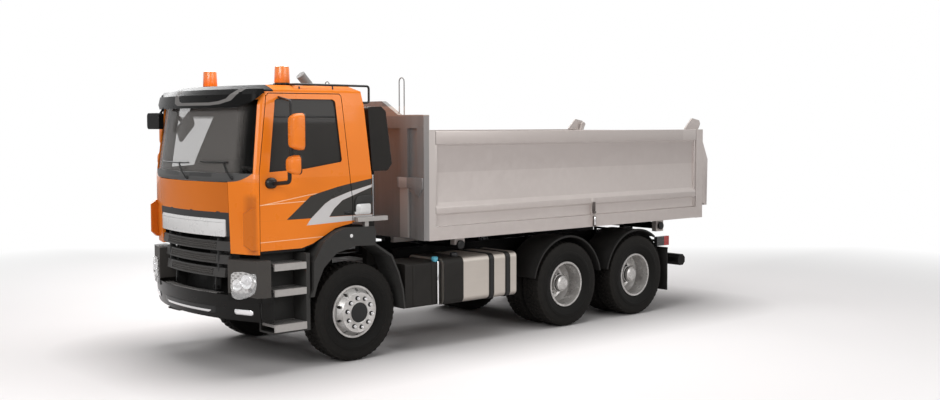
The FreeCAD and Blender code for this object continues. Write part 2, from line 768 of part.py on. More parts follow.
def front_rim(outward):
    bore = rim_seat_radius - seat_gap - rim_wall + 1.0
    face = front_disc_reach
    disc = [(60.0, bore), (110.0, bore), (150.0, 264.0), (face, front_disc_face),
            (face, hub_radius), (face - disc_sheet, hub_radius),
            (face - disc_sheet, front_disc_face - 8.0), (140.0, 250.0)]
    hub = [(-30.0, spindle_radius + pin_gap), (-30.0, hub_radius - 10.0), (60.0, hub_radius),
           (face - 8.0, hub_radius + 1.0), (front_hub_reach - 4.0, hub_radius - 14.0),
           (front_hub_reach - 4.0, 0.0), (80.0, 0.0), (80.0, spindle_radius + pin_gap)]
    drum = [(-20.0, drum_radius), (-20.0, drum_radius - drum_wall), (42.0, drum_radius - drum_wall),
            (42.0, hub_radius - 6.0), (56.0, hub_radius - 6.0), (56.0, drum_radius)]
    shapes = []
    for profile in (rim_barrel(), disc, hub, drum):
        shapes.append(turned(profile, 0.0, tyre_radius, outward, outward * front_track_half))
    rim = fuse(shapes)
    for index in range(hand_hole_count):
        angle = math.radians(360.0 / hand_hole_count * (index + 0.5))
        x = hand_hole_circle * math.cos(angle)
        z = tyre_radius + hand_hole_circle * math.sin(angle)
        start = outward * (front_track_half + 100.0)
        rim = rim.cut(rod(x, start, z, hand_hole_radius, 130.0, Vec(0, outward, 0)))
    return rim


def rear_rims(x, outward):
    bore = rim_seat_radius - seat_gap - rim_wall + 1.0
    shapes = []
    for centre, lean in ((rear_outer_half, 1.0), (rear_inner_half, -1.0)):
        shapes.append(turned(rim_barrel(), x, tyre_radius, outward, outward * centre))
        disc = [(60.0, bore), (90.0, bore), (22.0, 225.0), (10.0, 200.0), (10.0, hub_radius),
                (0.0, hub_radius), (0.0, 205.0), (10.0, 232.0)]
        disc = [(lean * offset, radius) for offset, radius in disc]
        shapes.append(turned(disc, x, tyre_radius, outward, outward * rear_mount_half))
    reach = rear_hub_reach
    bearing = axle_end_radius + pin_gap
    hub = [(-150.0, bearing), (-150.0, hub_radius - 8.0), (-20.0, hub_radius + 1.0),
           (30.0, hub_radius + 1.0), (60.0, hub_radius - 14.0),
           (reach + 60.0, hub_radius - 16.0), (reach + hub_cap_length, hub_radius - 40.0),
           (reach + hub_cap_length, 0.0), (reach, 0.0), (reach, bearing)]
    shapes.append(turned(hub, x, tyre_radius, outward, outward * rear_mount_half))
    drum_start = -14.0
    drum = [(drum_start, drum_radius), (drum_start, hub_radius - 6.0),
            (drum_start - 16.0, hub_radius - 6.0), (drum_start - 16.0, drum_radius - drum_wall),
            (drum_start - drum_length, drum_radius - drum_wall),
            (drum_start - drum_length, drum_radius)]
    shapes.append(turned(drum, x, tyre_radius, outward, outward * rear_mount_half))
    return fuse(shapes)


def rear_axles():
    """Two drive axles and the spring packs that carry both of them."""
    shapes = []
    z = tyre_radius
    spring_y = rail_outer_half - spring_width / 2
    for x in (-wheelbase, last_axle):
        reach = rear_mount_half + rear_hub_reach - 20.0
        tube = rod_y(x, z, axle_end_radius, -reach, reach)
        case = rod_y(x, z, axle_case_radius, -620.0, 620.0)
        bowl = Part.makeSphere(axle_bowl_radius, Vec(x, axle_bowl_offset, z))
        nose = rod_x(shaft_offset, z + 50.0, 70.0, x, x + 235.0 - seat_gap)
        back = rod_x(shaft_offset, z + 50.0, 60.0, x - 235.0 + seat_gap, x)
        housing = [tube, case, bowl, nose]
        if x > last_axle:
            housing.append(back)
        shapes.append(fuse(housing))
    low = z + axle_case_radius + seat_gap
    reach = bogie_spacing / 2 + 60.0
    middle = 110.0
    under_rail = rail_bottom - seat_gap
    y0 = spring_y - spring_width / 2

    def point(dx, dz):
        return Vec(bogie_centre + dx, y0, low + dz)
    lower = Part.makeLine(point(-reach, 0.0), point(reach, 0.0))
    right = Part.makeLine(point(reach, 0.0), point(reach, 26.0))
    upper = Part.Arc(point(reach, 26.0), point(0.0, middle), point(-reach, 26.0)).toShape()
    left = Part.makeLine(point(-reach, 26.0), point(-reach, 0.0))
    pack = Part.Face(Part.Wire([lower, right, upper, left])).extrude(Vec(0, spring_width, 0))
    saddle = box(bogie_centre - 90.0, bogie_centre + 90.0, y0, y0 + spring_width,
                 under_rail - 30.0, under_rail)
    pack = fuse([pack, saddle]).common(
        box(bogie_centre - reach, bogie_centre + reach, 0.0, rail_outer_half, low, under_rail))
    return group(shapes + both(pack))


def driveline():
    """Engine and gearbox as plain blocks, and the shafts to the rear axles."""
    engine = box(-150.0, 1000.0, -340.0, 340.0, 640.0, engine_top)
    engine = engine.cut(box(-120.0, 120.0, -500.0, 500.0, 400.0, 670.0))
    gearbox = box(-900.0, -150.0, -210.0, 210.0, 640.0, 1010.0)
    start, end = shaft_line()
    way = end - start
    way.normalize()
    front_shaft = rod_between(start, end + way * 2.0 * shaft_radius, shaft_radius)
    front_shaft = front_shaft.common(box(end.x, 0.0, -500.0, 500.0, 400.0, rail_top))
    z = tyre_radius + 50.0
    rear_shaft = rod_x(shaft_offset, z, shaft_radius, last_axle + 235.0, -wheelbase - 235.0)
    return group([fuse([engine, gearbox, front_shaft]), rear_shaft])


def front_bumper():
    """Bowed bumper skin with a step in its top, its brackets and the lamp housings."""
    bow = 1.75e-4
    half = 1185.0
    skin = bowed_band([(582.0, 1484.0, half), (700.0, 1505.0, half), (855.0, 1518.0, half)], bow, 10.0)
    top = bowed_band([(843.0, 1513.0, half), (855.0, 1513.0, half)], bow, 100.0)
    lip = bowed_band([(582.0, 1479.0, half), (592.0, 1479.0, half)], bow, 55.0)
    housing = prism([(1415.0, 800.0), (1290.0, 1190.0), (1130.0, 1215.0), (1130.0, 800.0)],
                    "z", 801.0, 1240.0)
    bracket = box(frame_front, 1500.0, rail_outer_half - rail_flange, rail_outer_half, 775.0, 850.0)
    outside = bowed_band([(700.0, 1500.0, 1300.0), (900.0, 1513.0, 1300.0)], bow, 1200.0)
    bracket = bracket.common(outside)
    return fuse([skin, top, lip] + both(housing) + both(bracket))


def lamps():
    """Headlamp lenses and the rear lamps on their arms."""
    plate = prism([(1399.3, 850.0), (1293.5, 1180.0), (1307.5, 1184.5), (1413.3, 854.5)],
                  "z", 880.0, 1130.0)
    leaf = prism([(850.0, 935.0), (880.0, 902.0), (985.0, 885.0), (1085.0, 900.0),
                  (1155.0, 950.0), (1182.0, 1005.0), (1172.0, 1058.0), (1120.0, 1105.0),
                  (1030.0, 1122.0), (905.0, 1112.0), (862.0, 1085.0)], "x", 1200.0, 1500.0)
    lens = plate.common(leaf)
    rear = last_axle - 760.0
    tail = box(rear, rear + 270.0, 1150.0, 1205.0, 930.0, 1065.0)
    arm = box(rear + 120.0, rear + 155.0, rail_outer_half + seat_gap, 1151.0, 975.0, 1010.0)
    return group(both(lens) + both(fuse([tail, arm])))


def entry_steps():
    """Three treads a side in the step wells, and the catwalk behind each door."""
    shapes = []
    for lip, top in ((460.0 + seat_gap, 540.0), (845.0, 918.0), (1122.0, 1195.0)):
        tread = box(690.0 + seat_gap, 1090.0, 955.0 + seat_gap, 1225.0, top - 30.0, top)
        face = box(690.0 + seat_gap, 1090.0, 1200.0, 1225.0, lip, top)
        shapes += both(fuse([tread, face]))
    step = box(-412.0, 8.0, 1165.0, 1240.0, 1590.0, 1640.0)
    leg = box(-150.0, -100.0, 1175.0, 1225.0, 1530.0, 1591.0)
    shapes += both(fuse([step, leg]))
    return group(shapes)


def guard_arch():
    outline = [(650.0, 800.0), (606.0, 880.0)] + guard_line[:4] + [
        (-225.0, 1529.0), (-240.0, 1490.0), (-240.0, 1330.0), (-476.0, 1181.0), (-575.0, 972.0),
        (-640.0, 767.0), (-665.0, 540.0), (-645.0, 540.0), (-615.0, 767.0), (-552.0, 972.0),
        (-455.0, 1165.0), (-225.0, 1310.0), (28.0, 1322.0), (300.0, 1260.0), (470.0, 1110.0),
        (560.0, 930.0), (600.0, 800.0)]
    return prism(outline, "y", 870.0, 1240.0)


def front_mudguards():
    """Step well ahead of the wheel and the guard over it, one moulding a side."""
    well = box(640.0, 1110.0, 930.0, 1215.0, 440.0, 1286.0)
    well = well.cut(box(690.0, 1300.0, 955.0, 1300.0, 460.0, 1300.0))
    stay = box(-40.0, 20.0, rail_outer_half + seat_gap, 871.0, 1400.0, 1440.0)
    post = box(-40.0, 20.0, rail_outer_half + seat_gap, rail_outer_half + 40.0, 800.0, 1440.0)
    return group(both(fuse([guard_arch(), well, stay, post])))


def rear_mudguards():
    guards = []
    for x in (-wheelbase, last_axle):
        outer = Part.makeCylinder(648.0, 515.0, Vec(x, 740.0, tyre_radius), AXIS_Y)
        inner = Part.makeCylinder(634.0, 515.0, Vec(x, 740.0, tyre_radius), AXIS_Y)
        arc = outer.cut(inner).common(box(x - 640.0, x + 640.0, 700.0, 1300.0, 1075.0, 1300.0))
        stay = rod_y(x, tyre_radius + 622.0, 15.0, rail_outer_half + 20.0, 1200.0)
        post = box(x - 20.0, x + 20.0, rail_outer_half + seat_gap, rail_outer_half + 30.0, 900.0,
                   tyre_radius + 640.0)
        guards += both(fuse([arc, stay, post]))
    flap = box(last_axle - 690.0, last_axle - 674.0, 780.0, 1240.0, 280.0, 900.0)
    hanger = rod_y(last_axle - 682.0, 890.0, 14.0, rail_outer_half + seat_gap, 1240.0)
    return group(guards + both(fuse([flap, hanger])))


def hung_bracket(x, inner_y, z0, z1):
    """Plate that hangs a tank or box on the side of the left rail."""
    return box(x - 30.0, x + 30.0, rail_outer_half + seat_gap, inner_y, z0, z1)


def fuel_tank():
    front = -1251.0
    rear = 945.0 - wheelbase
    tank = rounded(box(rear, front, 560.0, 1240.0, 513.0, 1073.0), 70.0, along(AXIS_X))
    cap = rod(front - 249.0, 1130.0, 1060.0, 45.0, 55.0, AXIS_Z)
    brackets = [hung_bracket(x, 561.0, 780.0, 1000.0) for x in (front - 249.0, rear + 255.0)]
    return fuse([tank, cap] + brackets)


def side_boxes():
    """Box ahead of the tank on the left, silencer and air tanks on the right."""
    left = rounded(box(-1239.0, -690.0, 620.0, 1200.0, 521.0, 1046.0), 30.0, along(AXIS_X))
    left = fuse([left, hung_bracket(-950.0, 621.0, 780.0, 1000.0)])
    right = rounded(box(-1500.0, -700.0, -1200.0, -560.0, 500.0, 1046.0), 60.0, along(AXIS_X))
    right = fuse([right, mirrored(hung_bracket(-1100.0, 561.0, 780.0, 1000.0))])
    tank_rear = 700.0 - wheelbase
    tank_front = -1650.0
    tanks = [rod_x(-800.0, z, 125.0, tank_rear, tank_front) for z in (650.0, 920.0)]
    plate_x = (tank_rear + tank_front) / 2
    plate = box(plate_x - 40.0, plate_x + 40.0, -700.0, -rail_outer_half - seat_gap, 640.0,
                940.0)
    return group([left, right, fuse(tanks + [plate])])


def intake_and_exhaust():
    """Air intake behind the cab's left side and exhaust stack behind its right side."""
    plenum = prism([(-306.0, 2150.0), (-250.0, 2885.0), (-440.0, 2892.0), (-505.0, 2838.0),
                    (-590.0, 2230.0), (-525.0, 2150.0)], "y", 780.0, 1090.0)
    plenum = rounded(plenum, 30.0, along(AXIS_Y))
    duct = box(-500.0, -380.0, 785.0, 865.0, rail_top + seat_gap, 2160.0)
    foot = box(-500.0, -380.0, rail_outer_half - 60.0, 865.0, rail_top + seat_gap, rail_top + 16.0)
    intake = fuse([plenum, duct, foot])
    pipe_x = -775.0
    pipe_y = -880.0
    exhaust = bent_tube([Vec(pipe_x, pipe_y, 1046.0 + seat_gap), Vec(pipe_x, pipe_y, 3165.0),
                         Vec(-620.0, pipe_y, 3330.0)], 62.0, 160.0)
    return group([intake, exhaust])


def rear_underrun():
    half = 80.0
    cut = 33.0
    x = body_end + 495.0
    z = 686.0
    octagon = [(x - half, z - cut), (x - half, z + cut), (x - cut, z + half), (x + cut, z + half),
               (x + half, z + cut), (x + half, z - cut), (x + cut, z - half), (x - cut, z - half)]
    bar = prism(octagon, "y", -1180.0, 1180.0)
    arm = prism([(x + 325.0, 1000.0), (x + 185.0, 1000.0), (x - 15.0, 740.0), (x - 15.0, 660.0),
                 (x + 85.0, 660.0), (x + 325.0, 800.0)],
                "y", rail_outer_half + seat_gap, rail_outer_half + 25.0)
    return fuse([bar] + both(arm))


# Tipping body

def bed_floor():
    half = bed_half_width
    rail_in = half - floor_rail_width
    plate_low = floor_top - floor_plate
    post_front = bed_rear_post + post_length
    shapes = [box(post_front, bed_inner_front, -half, half, plate_low, floor_top),
              box(floor_rear, post_front, -half + post_width, half - post_width, plate_low, floor_top)]
    web = box(post_front, bed_inner_front, half - floor_rail_wall, half, floor_bottom, floor_top)
    foot = box(post_front, bed_inner_front, rail_in, half, floor_bottom, floor_bottom + floor_rail_wall)
    shapes += both(web) + both(foot)
    member = box(tip_x + 110.0, -1100.0, 390.0, 450.0, tip_z + 15.0, plate_low)
    member = member.cut(rod_y(front_saddle_x, tip_z, tip_tube_radius + running_gap, 0.0, 1300.0))
    shapes += both(member)
    inner = half - floor_rail_wall
    for index in range(bearer_count):
        x = bearer_start - bearer_pitch * index
        shapes.append(box(x - bearer_web / 2, x + bearer_web / 2, -inner, inner,
                          floor_bottom + 10.0, plate_low))
        shapes.append(box(x - bearer_foot / 2, x + bearer_foot / 2, -inner, inner,
                          floor_bottom + 10.0, floor_bottom + 20.0))
    sill_half = half - post_width
    shapes.append(box(bed_rear_post, bed_rear_post + 12.0, -sill_half, sill_half,
                      floor_bottom, plate_low))
    shapes.append(box(bed_inner_front - 12.0, bed_inner_front, -inner, inner, floor_bottom, plate_low))
    for x, wrap in ((tip_x, 80.0), (front_saddle_x, 0.0)):
        block = box(x - 80.0, x + 80.0, tip_saddle_half - saddle_half_length,
                    tip_saddle_half + saddle_half_length, tip_z - wrap, plate_low)
        play = pin_gap if wrap else seat_gap
        shapes += both(block.cut(rod_y(x, tip_z, tip_tube_radius + play, 0.0, 1300.0)))
    ball_x, ball_height = ball_place()
    socket = box(ball_x - 90.0, ball_x + 90.0, -90.0, 90.0, ball_height + 10.0, plate_low)
    shapes.append(socket.cut(Part.makeSphere(ball_radius + 1.0, Vec(ball_x, 0.0, ball_height))))
    for latch in both(box(gate_latch_x - latch_half, gate_latch_x + latch_half, half - 1.0,
                          half + latch_depth, 1312.0, floor_top - 3.0)):
        shapes.append(latch)
    notch = box(bed_inner_front - side_post_length - seat_gap, bed_inner_front + 1.0,
                half - gate_thickness - seat_gap, half + 1.0, plate_low, floor_top + 1.0)
    return cut_all(fuse(shapes), both(notch))


def gate_pin_hole(face_x):
    """Hole in a post for the gate's top pin, on both sides of the post's face."""
    reach = gate_pin_reach + running_gap
    return rod_x(gate_pin_y, gate_pin_z, gate_pin_radius + pin_gap, face_x - reach, face_x + reach)


def headboard():
    half = bed_half_width
    rear = bed_inner_front
    post = box(rear, bed_front, half - post_width, half, 1313.0, 2797.0)
    panel = box(rear, bed_front - 47.0, -half + post_width, half - post_width, 1313.0,
                headboard_top)
    beam = box(rear, bed_front, -half + post_width, half - post_width, headboard_top,
               headboard_beam_top)
    peak = prism([(-789.0, headboard_beam_top), (789.0, headboard_beam_top),
                  (463.0, headboard_peak), (-463.0, headboard_peak)], "x", rear + 20.0, bed_front)
    side_post = box(rear - side_post_length, rear, half - gate_thickness, half,
                    floor_top - floor_plate + seat_gap, gate_top)
    side_post = side_post.cut(gate_pin_hole(rear - side_post_length))
    panel_face = bed_front - 47.0
    inner_post = box(panel_face, bed_front, 815.0, 965.0, 1330.0, headboard_top)
    brace = prism([(682.0, 2045.0), (half - 18.0, 2068.0), (half - 63.0, 1828.0),
                   (847.0, 1912.0)], "x", panel_face, bed_front - 12.0)
    hoops = []
    straight = hoop_height - hoop_half_width
    hoop_x = -975.0
    for y in (-790.0, 790.0):
        for dy in (-hoop_half_width, hoop_half_width):
            hoops.append(rod(hoop_x, y + dy, headboard_beam_top - 2.0, hoop_wire, straight + 2.0,
                             AXIS_Z))
        crown = Part.makeTorus(hoop_half_width, hoop_wire,
                               Vec(hoop_x, y, headboard_beam_top + straight), AXIS_X)
        hoops.append(crown.common(box(hoop_x - 30.0, hoop_x + 30.0, y - 60.0, y + 60.0,
                                      headboard_beam_top + straight, 3400.0)))
    return fuse([panel, beam, peak] + both(post) + both(side_post) + both(inner_post)
                + both(brace) + hoops)


def rear_posts():
    """Rear corner posts with the horns that carry the tailgate's pins."""
    half = bed_half_width
    post = box(bed_rear_post, bed_rear_post + post_length, half - post_width, half,
               floor_bottom - 4.0, gate_top)
    post = post.cut(gate_pin_hole(bed_rear_post + post_length))
    horn = prism([(body_end + 140.0, gate_top), (body_end + 440.0, gate_top),
                  (body_end + 440.0, gate_top + 20.0), (body_end + 280.0, 2770.0),
                  (body_end + 115.0, 2740.0), (body_end + 90.0, 2690.0),
                  (body_end + 115.0, 2640.0)], "y", 1165.0, 1190.0)
    pin = rod_y(tailgate_axis_x, tailgate_axis_z, tailgate_pin_radius, 1100.0, 1166.0)
    return group(both(fuse([post, horn, pin])))


def side_gate():
    outer = bed_half_width
    inner = outer - gate_thickness
    front = bed_inner_front - side_post_length - running_gap
    rear = bed_rear_post + post_length + running_gap
    section = [(inner, gate_bottom), (outer - 14.0, gate_bottom), (outer - 18.0, 1560.0),
               (outer - 16.0, 1650.0), (outer, 1664.0), (outer, 1743.0), (outer - 16.0, 1762.0),
               (outer - 24.0, 2105.0), (outer - 16.0, 2430.0), (outer, 2447.0), (outer, gate_top),
               (inner, gate_top)]
    gate = prism(section, "x", rear, front)
    latch = box(gate_latch_x - latch_half, gate_latch_x + latch_half, outer - 30.0,
                outer + latch_depth, gate_bottom + 4.0, 1691.0)
    pin = rod_x(gate_pin_y, gate_pin_z, gate_pin_radius, rear - gate_pin_reach,
                front + gate_pin_reach)
    return fuse([gate, latch, pin])


def tailgate():
    half = bed_half_width - post_width - running_gap
    profile = [(204.0, 2595.0), (0.0, 2159.0), (14.0, 1480.0), (80.0, 1480.0), (74.0, 2140.0),
               (270.0, 2560.0), (270.0, 2595.0)]
    leaf = prism([(body_end + x, z) for x, z in profile], "y", -half, half)
    lug = [(240.0, 2560.0), (180.0, 2560.0), (112.0, 2690.0), (150.0, 2728.0), (190.0, 2700.0)]
    arm = prism([(body_end + x, z) for x, z in lug], "y", 1105.0, 1135.0)
    shape = fuse([leaf] + both(arm))
    return shape.cut(rod_y(tailgate_axis_x, tailgate_axis_z, tailgate_pin_radius + pin_gap,
                           -1300.0, 1300.0))


# Telescopic cylinder

def cylinder_line():
    foot_x, foot_z = trunnion_place()
    ball_x, ball_height = ball_place()
    foot = Vec(foot_x, 0.0, foot_z)
    way = Vec(ball_x, 0.0, ball_height) - foot
    length = way.Length
    way.normalize()
    return foot, way, length


def cyl_barrel():
    foot, way = cylinder_line()[:2]
    base = foot - way * barrel_below
    floor = 14.0
    outer = Part.makeCylinder(barrel_radius, barrel_above + barrel_below, base, way)
    inner = Part.makeCylinder(barrel_radius - stage_wall, barrel_above + barrel_below - floor,
                              base + way * floor, way)
    pins = rod_y(foot.x, foot.z, trunnion_radius, -trunnion_half, trunnion_half)
    return fuse([outer, pins]).cut(inner)


def cyl_stage(number):
    foot, way, length = cylinder_line()
    depth = barrel_below - 16.0
    base = foot - way * depth
    outer_radius = (barrel_radius - stage_wall - stage_play
                    - (stage_wall + stage_play) * (number - 1))
    top = barrel_above + stage_rise * number
    body = Part.makeCylinder(outer_radius, depth + top, base, way)
    if number < stage_count:
        return body.cut(Part.makeCylinder(outer_radius - stage_wall, depth + top + 2.0,
                                          base - way, way))
    neck = Part.makeCylinder(ball_neck_radius, length - top + 1.0, foot + way * (top - 1.0), way)
    ball = Part.makeSphere(ball_radius, foot + way * length)
    return fuse([body, neck, ball])


def build():
    parts = cab_panels()
    parts["cab_floor"] = cab_floor()
    parts["cab_interior"] = cab_interior()
    parts["sun_visor"] = sun_visor()
    parts["roof_beacons"] = roof_beacons()
    parts["roof_rails"] = roof_rails()
    parts["lower_grille"] = lower_grille()
    parts["frame_rails"] = frame_rails()
    parts["cross_members"] = cross_members()
    parts["tipper_subframe"] = tipper_subframe()
    parts["front_axle"] = front_axle()
    parts["rear_axles"] = rear_axles()
    parts["driveline"] = driveline()
    parts["front_bumper"] = front_bumper()
    parts["lamps"] = lamps()
    parts["entry_steps"] = entry_steps()
    parts["front_mudguards"] = front_mudguards()
    parts["rear_mudguards"] = rear_mudguards()
    parts["fuel_tank"] = fuel_tank()
    parts["side_boxes"] = side_boxes()
    parts["intake_and_exhaust"] = intake_and_exhaust()
    parts["rear_underrun"] = rear_underrun()
    parts["tie_rod"] = tie_rod()
    parts["bed_floor"] = bed_floor()
    parts["headboard"] = headboard()
    parts["rear_posts"] = rear_posts()
    parts["tailgate"] = tailgate()
    parts["cyl_barrel"] = cyl_barrel()
    for number in range(1, stage_count + 1):
        parts["cyl_stage_" + str(number)] = cyl_stage(number)
    pairs = {"mirror": door_mirror(), "knuckle": knuckle(), "gate": side_gate()}
    for name, shape in pairs.items():
        parts[name + "_left"] = shape
        parts[name + "_right"] = mirrored(shape)
    for name, side in (("left", 1.0), ("right", -1.0)):
        parts["tyre_front_" + name] = tyre(0.0, side, front_track_half)
        parts["rim_front_" + name] = front_rim(side)
        for axle, x in (("middle", -wheelbase), ("rear", last_axle)):
            duals = [tyre(x, side, rear_outer_half), tyre(x, side, rear_inner_half)]
            parts["tyres_" + axle + "_" + name] = group(duals)
            parts["rims_" + axle + "_" + name] = rear_rims(x, side)
    return parts


def main():
    os.makedirs("parts", exist_ok=True)
    shift = Vec(overall_length / 2 - front_overhang, 0.0, 0.0)
    for name, shape in build().items():
        shape = shape.copy()
        shape.translate(shift)
        shape.exportStep(os.path.join("parts", name + ".step"))
        print(name, len(shape.Solids), "solids", round(shape.Volume / 1e6, 1), "litres",
              "" if shape.isValid() else "NOT VALID")


main()
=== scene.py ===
import math

import bmesh
import bpy
from mathutils import Matrix, Vector

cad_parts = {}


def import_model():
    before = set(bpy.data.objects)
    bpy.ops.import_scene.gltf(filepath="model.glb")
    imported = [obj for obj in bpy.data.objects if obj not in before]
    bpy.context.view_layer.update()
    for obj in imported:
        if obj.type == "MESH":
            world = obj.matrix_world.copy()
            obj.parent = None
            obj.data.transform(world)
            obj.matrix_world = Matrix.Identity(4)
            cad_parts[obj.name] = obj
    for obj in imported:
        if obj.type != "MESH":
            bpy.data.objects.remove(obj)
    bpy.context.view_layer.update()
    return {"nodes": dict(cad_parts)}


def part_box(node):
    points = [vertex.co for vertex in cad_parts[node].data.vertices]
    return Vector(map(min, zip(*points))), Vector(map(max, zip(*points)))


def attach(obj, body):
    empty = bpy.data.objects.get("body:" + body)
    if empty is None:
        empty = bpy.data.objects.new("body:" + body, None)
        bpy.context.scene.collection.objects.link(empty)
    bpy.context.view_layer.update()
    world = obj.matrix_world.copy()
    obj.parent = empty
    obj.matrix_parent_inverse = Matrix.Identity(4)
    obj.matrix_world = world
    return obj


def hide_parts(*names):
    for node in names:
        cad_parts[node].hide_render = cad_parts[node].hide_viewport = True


# Dump truck: paint, glass, rubber and fine pieces over the fixed frame.
# Places are millimetres with x = 0 at the front axle, +Y on the truck's left and z = 0 on the
# ground; at() turns them into the frame's metres.

FRONT_AXLE = 2430

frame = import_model()

# Sizes that several pieces share
TYRE_RADIUS = 562
FRONT_WHEEL_Y = 1025
REAR_OUTER_Y = 1088
REAR_INNER_Y = 738
REAR_HUB_Y = 913
REAR_AXLES = {"middle": -3400, "rear": -4800}
NUT_CIRCLE = 167.5
CAB_BOW = 1.65e-4
SLAT_BOW = 1.7e-4
BUMPER_BOW = 1.75e-4


def at(x, y, z):
    return Vector(((x + FRONT_AXLE) / 1000, y / 1000, z / 1000))


# Materials

class Wire:
    """One socket of a material's tree, with arithmetic on it."""

    def __init__(self, finish, socket):
        self.finish = finish
        self.socket = socket

    def math(self, operation, *others):
        node = self.finish.node("ShaderNodeMath", {"operation": operation}, [self, *others])
        return Wire(self.finish, node.outputs[0])

    def __add__(self, other):
        return self.math("ADD", other)

    def __sub__(self, other):
        return self.math("SUBTRACT", other)

    def __mul__(self, other):
        return self.math("MULTIPLY", other)

    def __truediv__(self, other):
        return self.math("DIVIDE", other)

    def __rsub__(self, other):
        return (self * -1.0) + other

    __radd__ = __add__
    __rmul__ = __mul__

    def above(self, edge, soft=2.0):
        """0 below the edge and 1 above it, soft over a few millimetres."""
        return ((self - edge) / soft + 0.5).clipped()

    def below(self, edge, soft=2.0):
        return 1.0 - self.above(edge, soft)

    def within(self, low, high, soft=2.0):
        return self.above(low, soft) * self.below(high, soft)

    def clipped(self):
        return self.math("MINIMUM", 1.0).math("MAXIMUM", 0.0)

    def magnitude(self):
        return self.math("ABSOLUTE")


def add_node(tree, kind, settings=None, inputs=None):
    """New node of a tree, its inputs linked to wires and outputs or set to values."""
    node = tree.nodes.new(kind)
    for name, value in (settings or {}).items():
        setattr(node, name, value)
    pairs = inputs.items() if isinstance(inputs, dict) else enumerate(inputs or [])
    for key, value in pairs:
        if isinstance(value, Wire):
            value = value.socket
        if isinstance(value, bpy.types.NodeSocket):
            tree.links.new(value, node.inputs[key])
        else:
            node.inputs[key].default_value = value
    return node


class Finish:
    """A material's tree and the few nodes that every finish uses."""

    def __init__(self, name):
        self.material = bpy.data.materials.new(name)
        self.material.use_nodes = True
        self.tree = self.material.node_tree
        self.tree.nodes.clear()
        self.output = self.tree.nodes.new("ShaderNodeOutputMaterial")
        self.place = self.node("ShaderNodeTexCoord").outputs["Object"]

    def node(self, kind, settings=None, inputs=None):
        return add_node(self.tree, kind, settings, inputs)

    def axes(self):
        """x, y and z on the truck in millimetres."""
        split = self.node("ShaderNodeSeparateXYZ", None, [self.place])
        x, y, z = (Wire(self, socket) for socket in split.outputs)
        return x * 1000 - FRONT_AXLE, y * 1000, z * 1000

    def noise(self, scale, detail=3.0, stretch=(1.0, 1.0, 1.0), roughness=0.5):
        place = self.node("ShaderNodeMapping", None, {"Vector": self.place, "Scale": stretch})
        node = self.node("ShaderNodeTexNoise", None,
                         {"Vector": place.outputs[0], "Scale": scale, "Detail": detail,
                          "Roughness": roughness})
        return Wire(self, node.outputs["Fac"])

    def curve(self, value, low, high, stops):
        """Height over a length, through (place, height) stops from 0 to 4000 mm."""
        node = self.node("ShaderNodeValToRGB", None, [(value - low) / (high - low)])
        elements = node.color_ramp.elements
        while len(elements) < len(stops):
            elements.new(0.5)
        for element, (place, height) in zip(elements, sorted(stops)):
            element.position = (place - low) / (high - low)
            element.color = (height / 4000,) * 3 + (1.0,)
        return Wire(self, node.outputs["Color"]) * 4000

    def mix(self, factor, first, second):
        node = self.node("ShaderNodeMix", {"data_type": "RGBA"}, {0: factor, 6: first, 7: second})
        return Wire(self, node.outputs[2])

    def layers(self, base, *coats):
        """Colour with coats over it, each a mask and the colour that it brings."""
        for mask, colour in coats:
            base = self.mix(mask, base, rgb(*colour))
        return base

    def clouds(self, factor, first, second):
        return self.mix(factor, rgb(*first), rgb(*second))

    def bump(self, height, strength, distance):
        node = self.node("ShaderNodeBump", None,
                         {"Strength": strength, "Distance": distance, "Height": height})
        return node.outputs[0]

    def done(self, **values):
        """Close the tree with a shader whose sockets take these values."""
        inputs = {name.replace("_", " "): value for name, value in values.items()}
        shader = self.node("ShaderNodeBsdfPrincipled", None, inputs)
        self.tree.links.new(shader.outputs[0], self.output.inputs["Surface"])
        return self.material


def rgb(red, green, blue):
    return (red, green, blue, 1.0)


def side_stripes(finish):
    """Masks of the grey bands, the silver swoosh and the pinstripes on the cab's sides."""
    x, y, z = finish.axes()
    side = y.magnitude().above(1100) * x.below(1216)
    outer = finish.curve(x, -300, 900, [
        (-300, 2078), (50, 2022), (215, 1992), (462, 1935), (577, 1904), (888, 1657), (900, 1657)])
    middle = finish.curve(x, -300, 900, [
        (-300, 2020), (-233, 1996), (64, 1929), (303, 1856), (390, 1809), (574, 1657), (635, 1582)])
    inner = finish.curve(x, -300, 900, [
        (-300, 1985), (-213, 1960), (14, 1885), (154, 1839), (267, 1751), (336, 1662), (340, 1582)])
    foot = finish.curve(x, -300, 900, [(-300, 1612), (16, 1602), (635, 1582)])
    band = (outer - z).above(0.0) * (z - middle).above(0.0) * z.above(1657)
    pocket = (inner - z).above(0.0) * z.above(1661) * x.below(338)
    swoosh = (middle - z).above(0.0) * (z - inner).above(0.0)
    base = z.below(1659) * (z - foot).above(0.0) * (middle - z).above(0.0)
    silver = (swoosh * x.below(338) + swoosh * x.above(338) + base).math("MINIMUM", 1.0)
    silver = silver * (z - foot).above(0.0) * x.below(640, 90)
    grey = (band + pocket).math("MINIMUM", 1.0)
    first = finish.curve(x, -300, 1240, [(-300, 1975), (51, 1959), (583, 1919), (1099, 1842),
                                              (1178, 1831), (1240, 1826)])
    second = finish.curve(x, -300, 1240, [(-300, 1858), (278, 1855), (632, 1850), (1178, 1831),
                                               (1240, 1826)])
    third = finish.curve(x, -300, 1240, [(-300, 1452), (370, 1447), (1196, 1431), (1240, 1430)])
    lines = (z - first).magnitude().below(3.5)
    lines = lines + (z - second).magnitude().below(3.5) * x.above(240)
    lines = lines + (z - third).magnitude().below(3.0)
    lines = lines.math("MINIMUM", 1.0) * (1.0 - silver)
    return grey * side, silver * side, lines * side


def orange(finish):
    """The cab's orange, a little uneven from panel to panel."""
    cloud = finish.noise(1.3, 2.0)
    return finish.clouds(cloud, (0.76, 0.185, 0.012), (0.84, 0.222, 0.016))


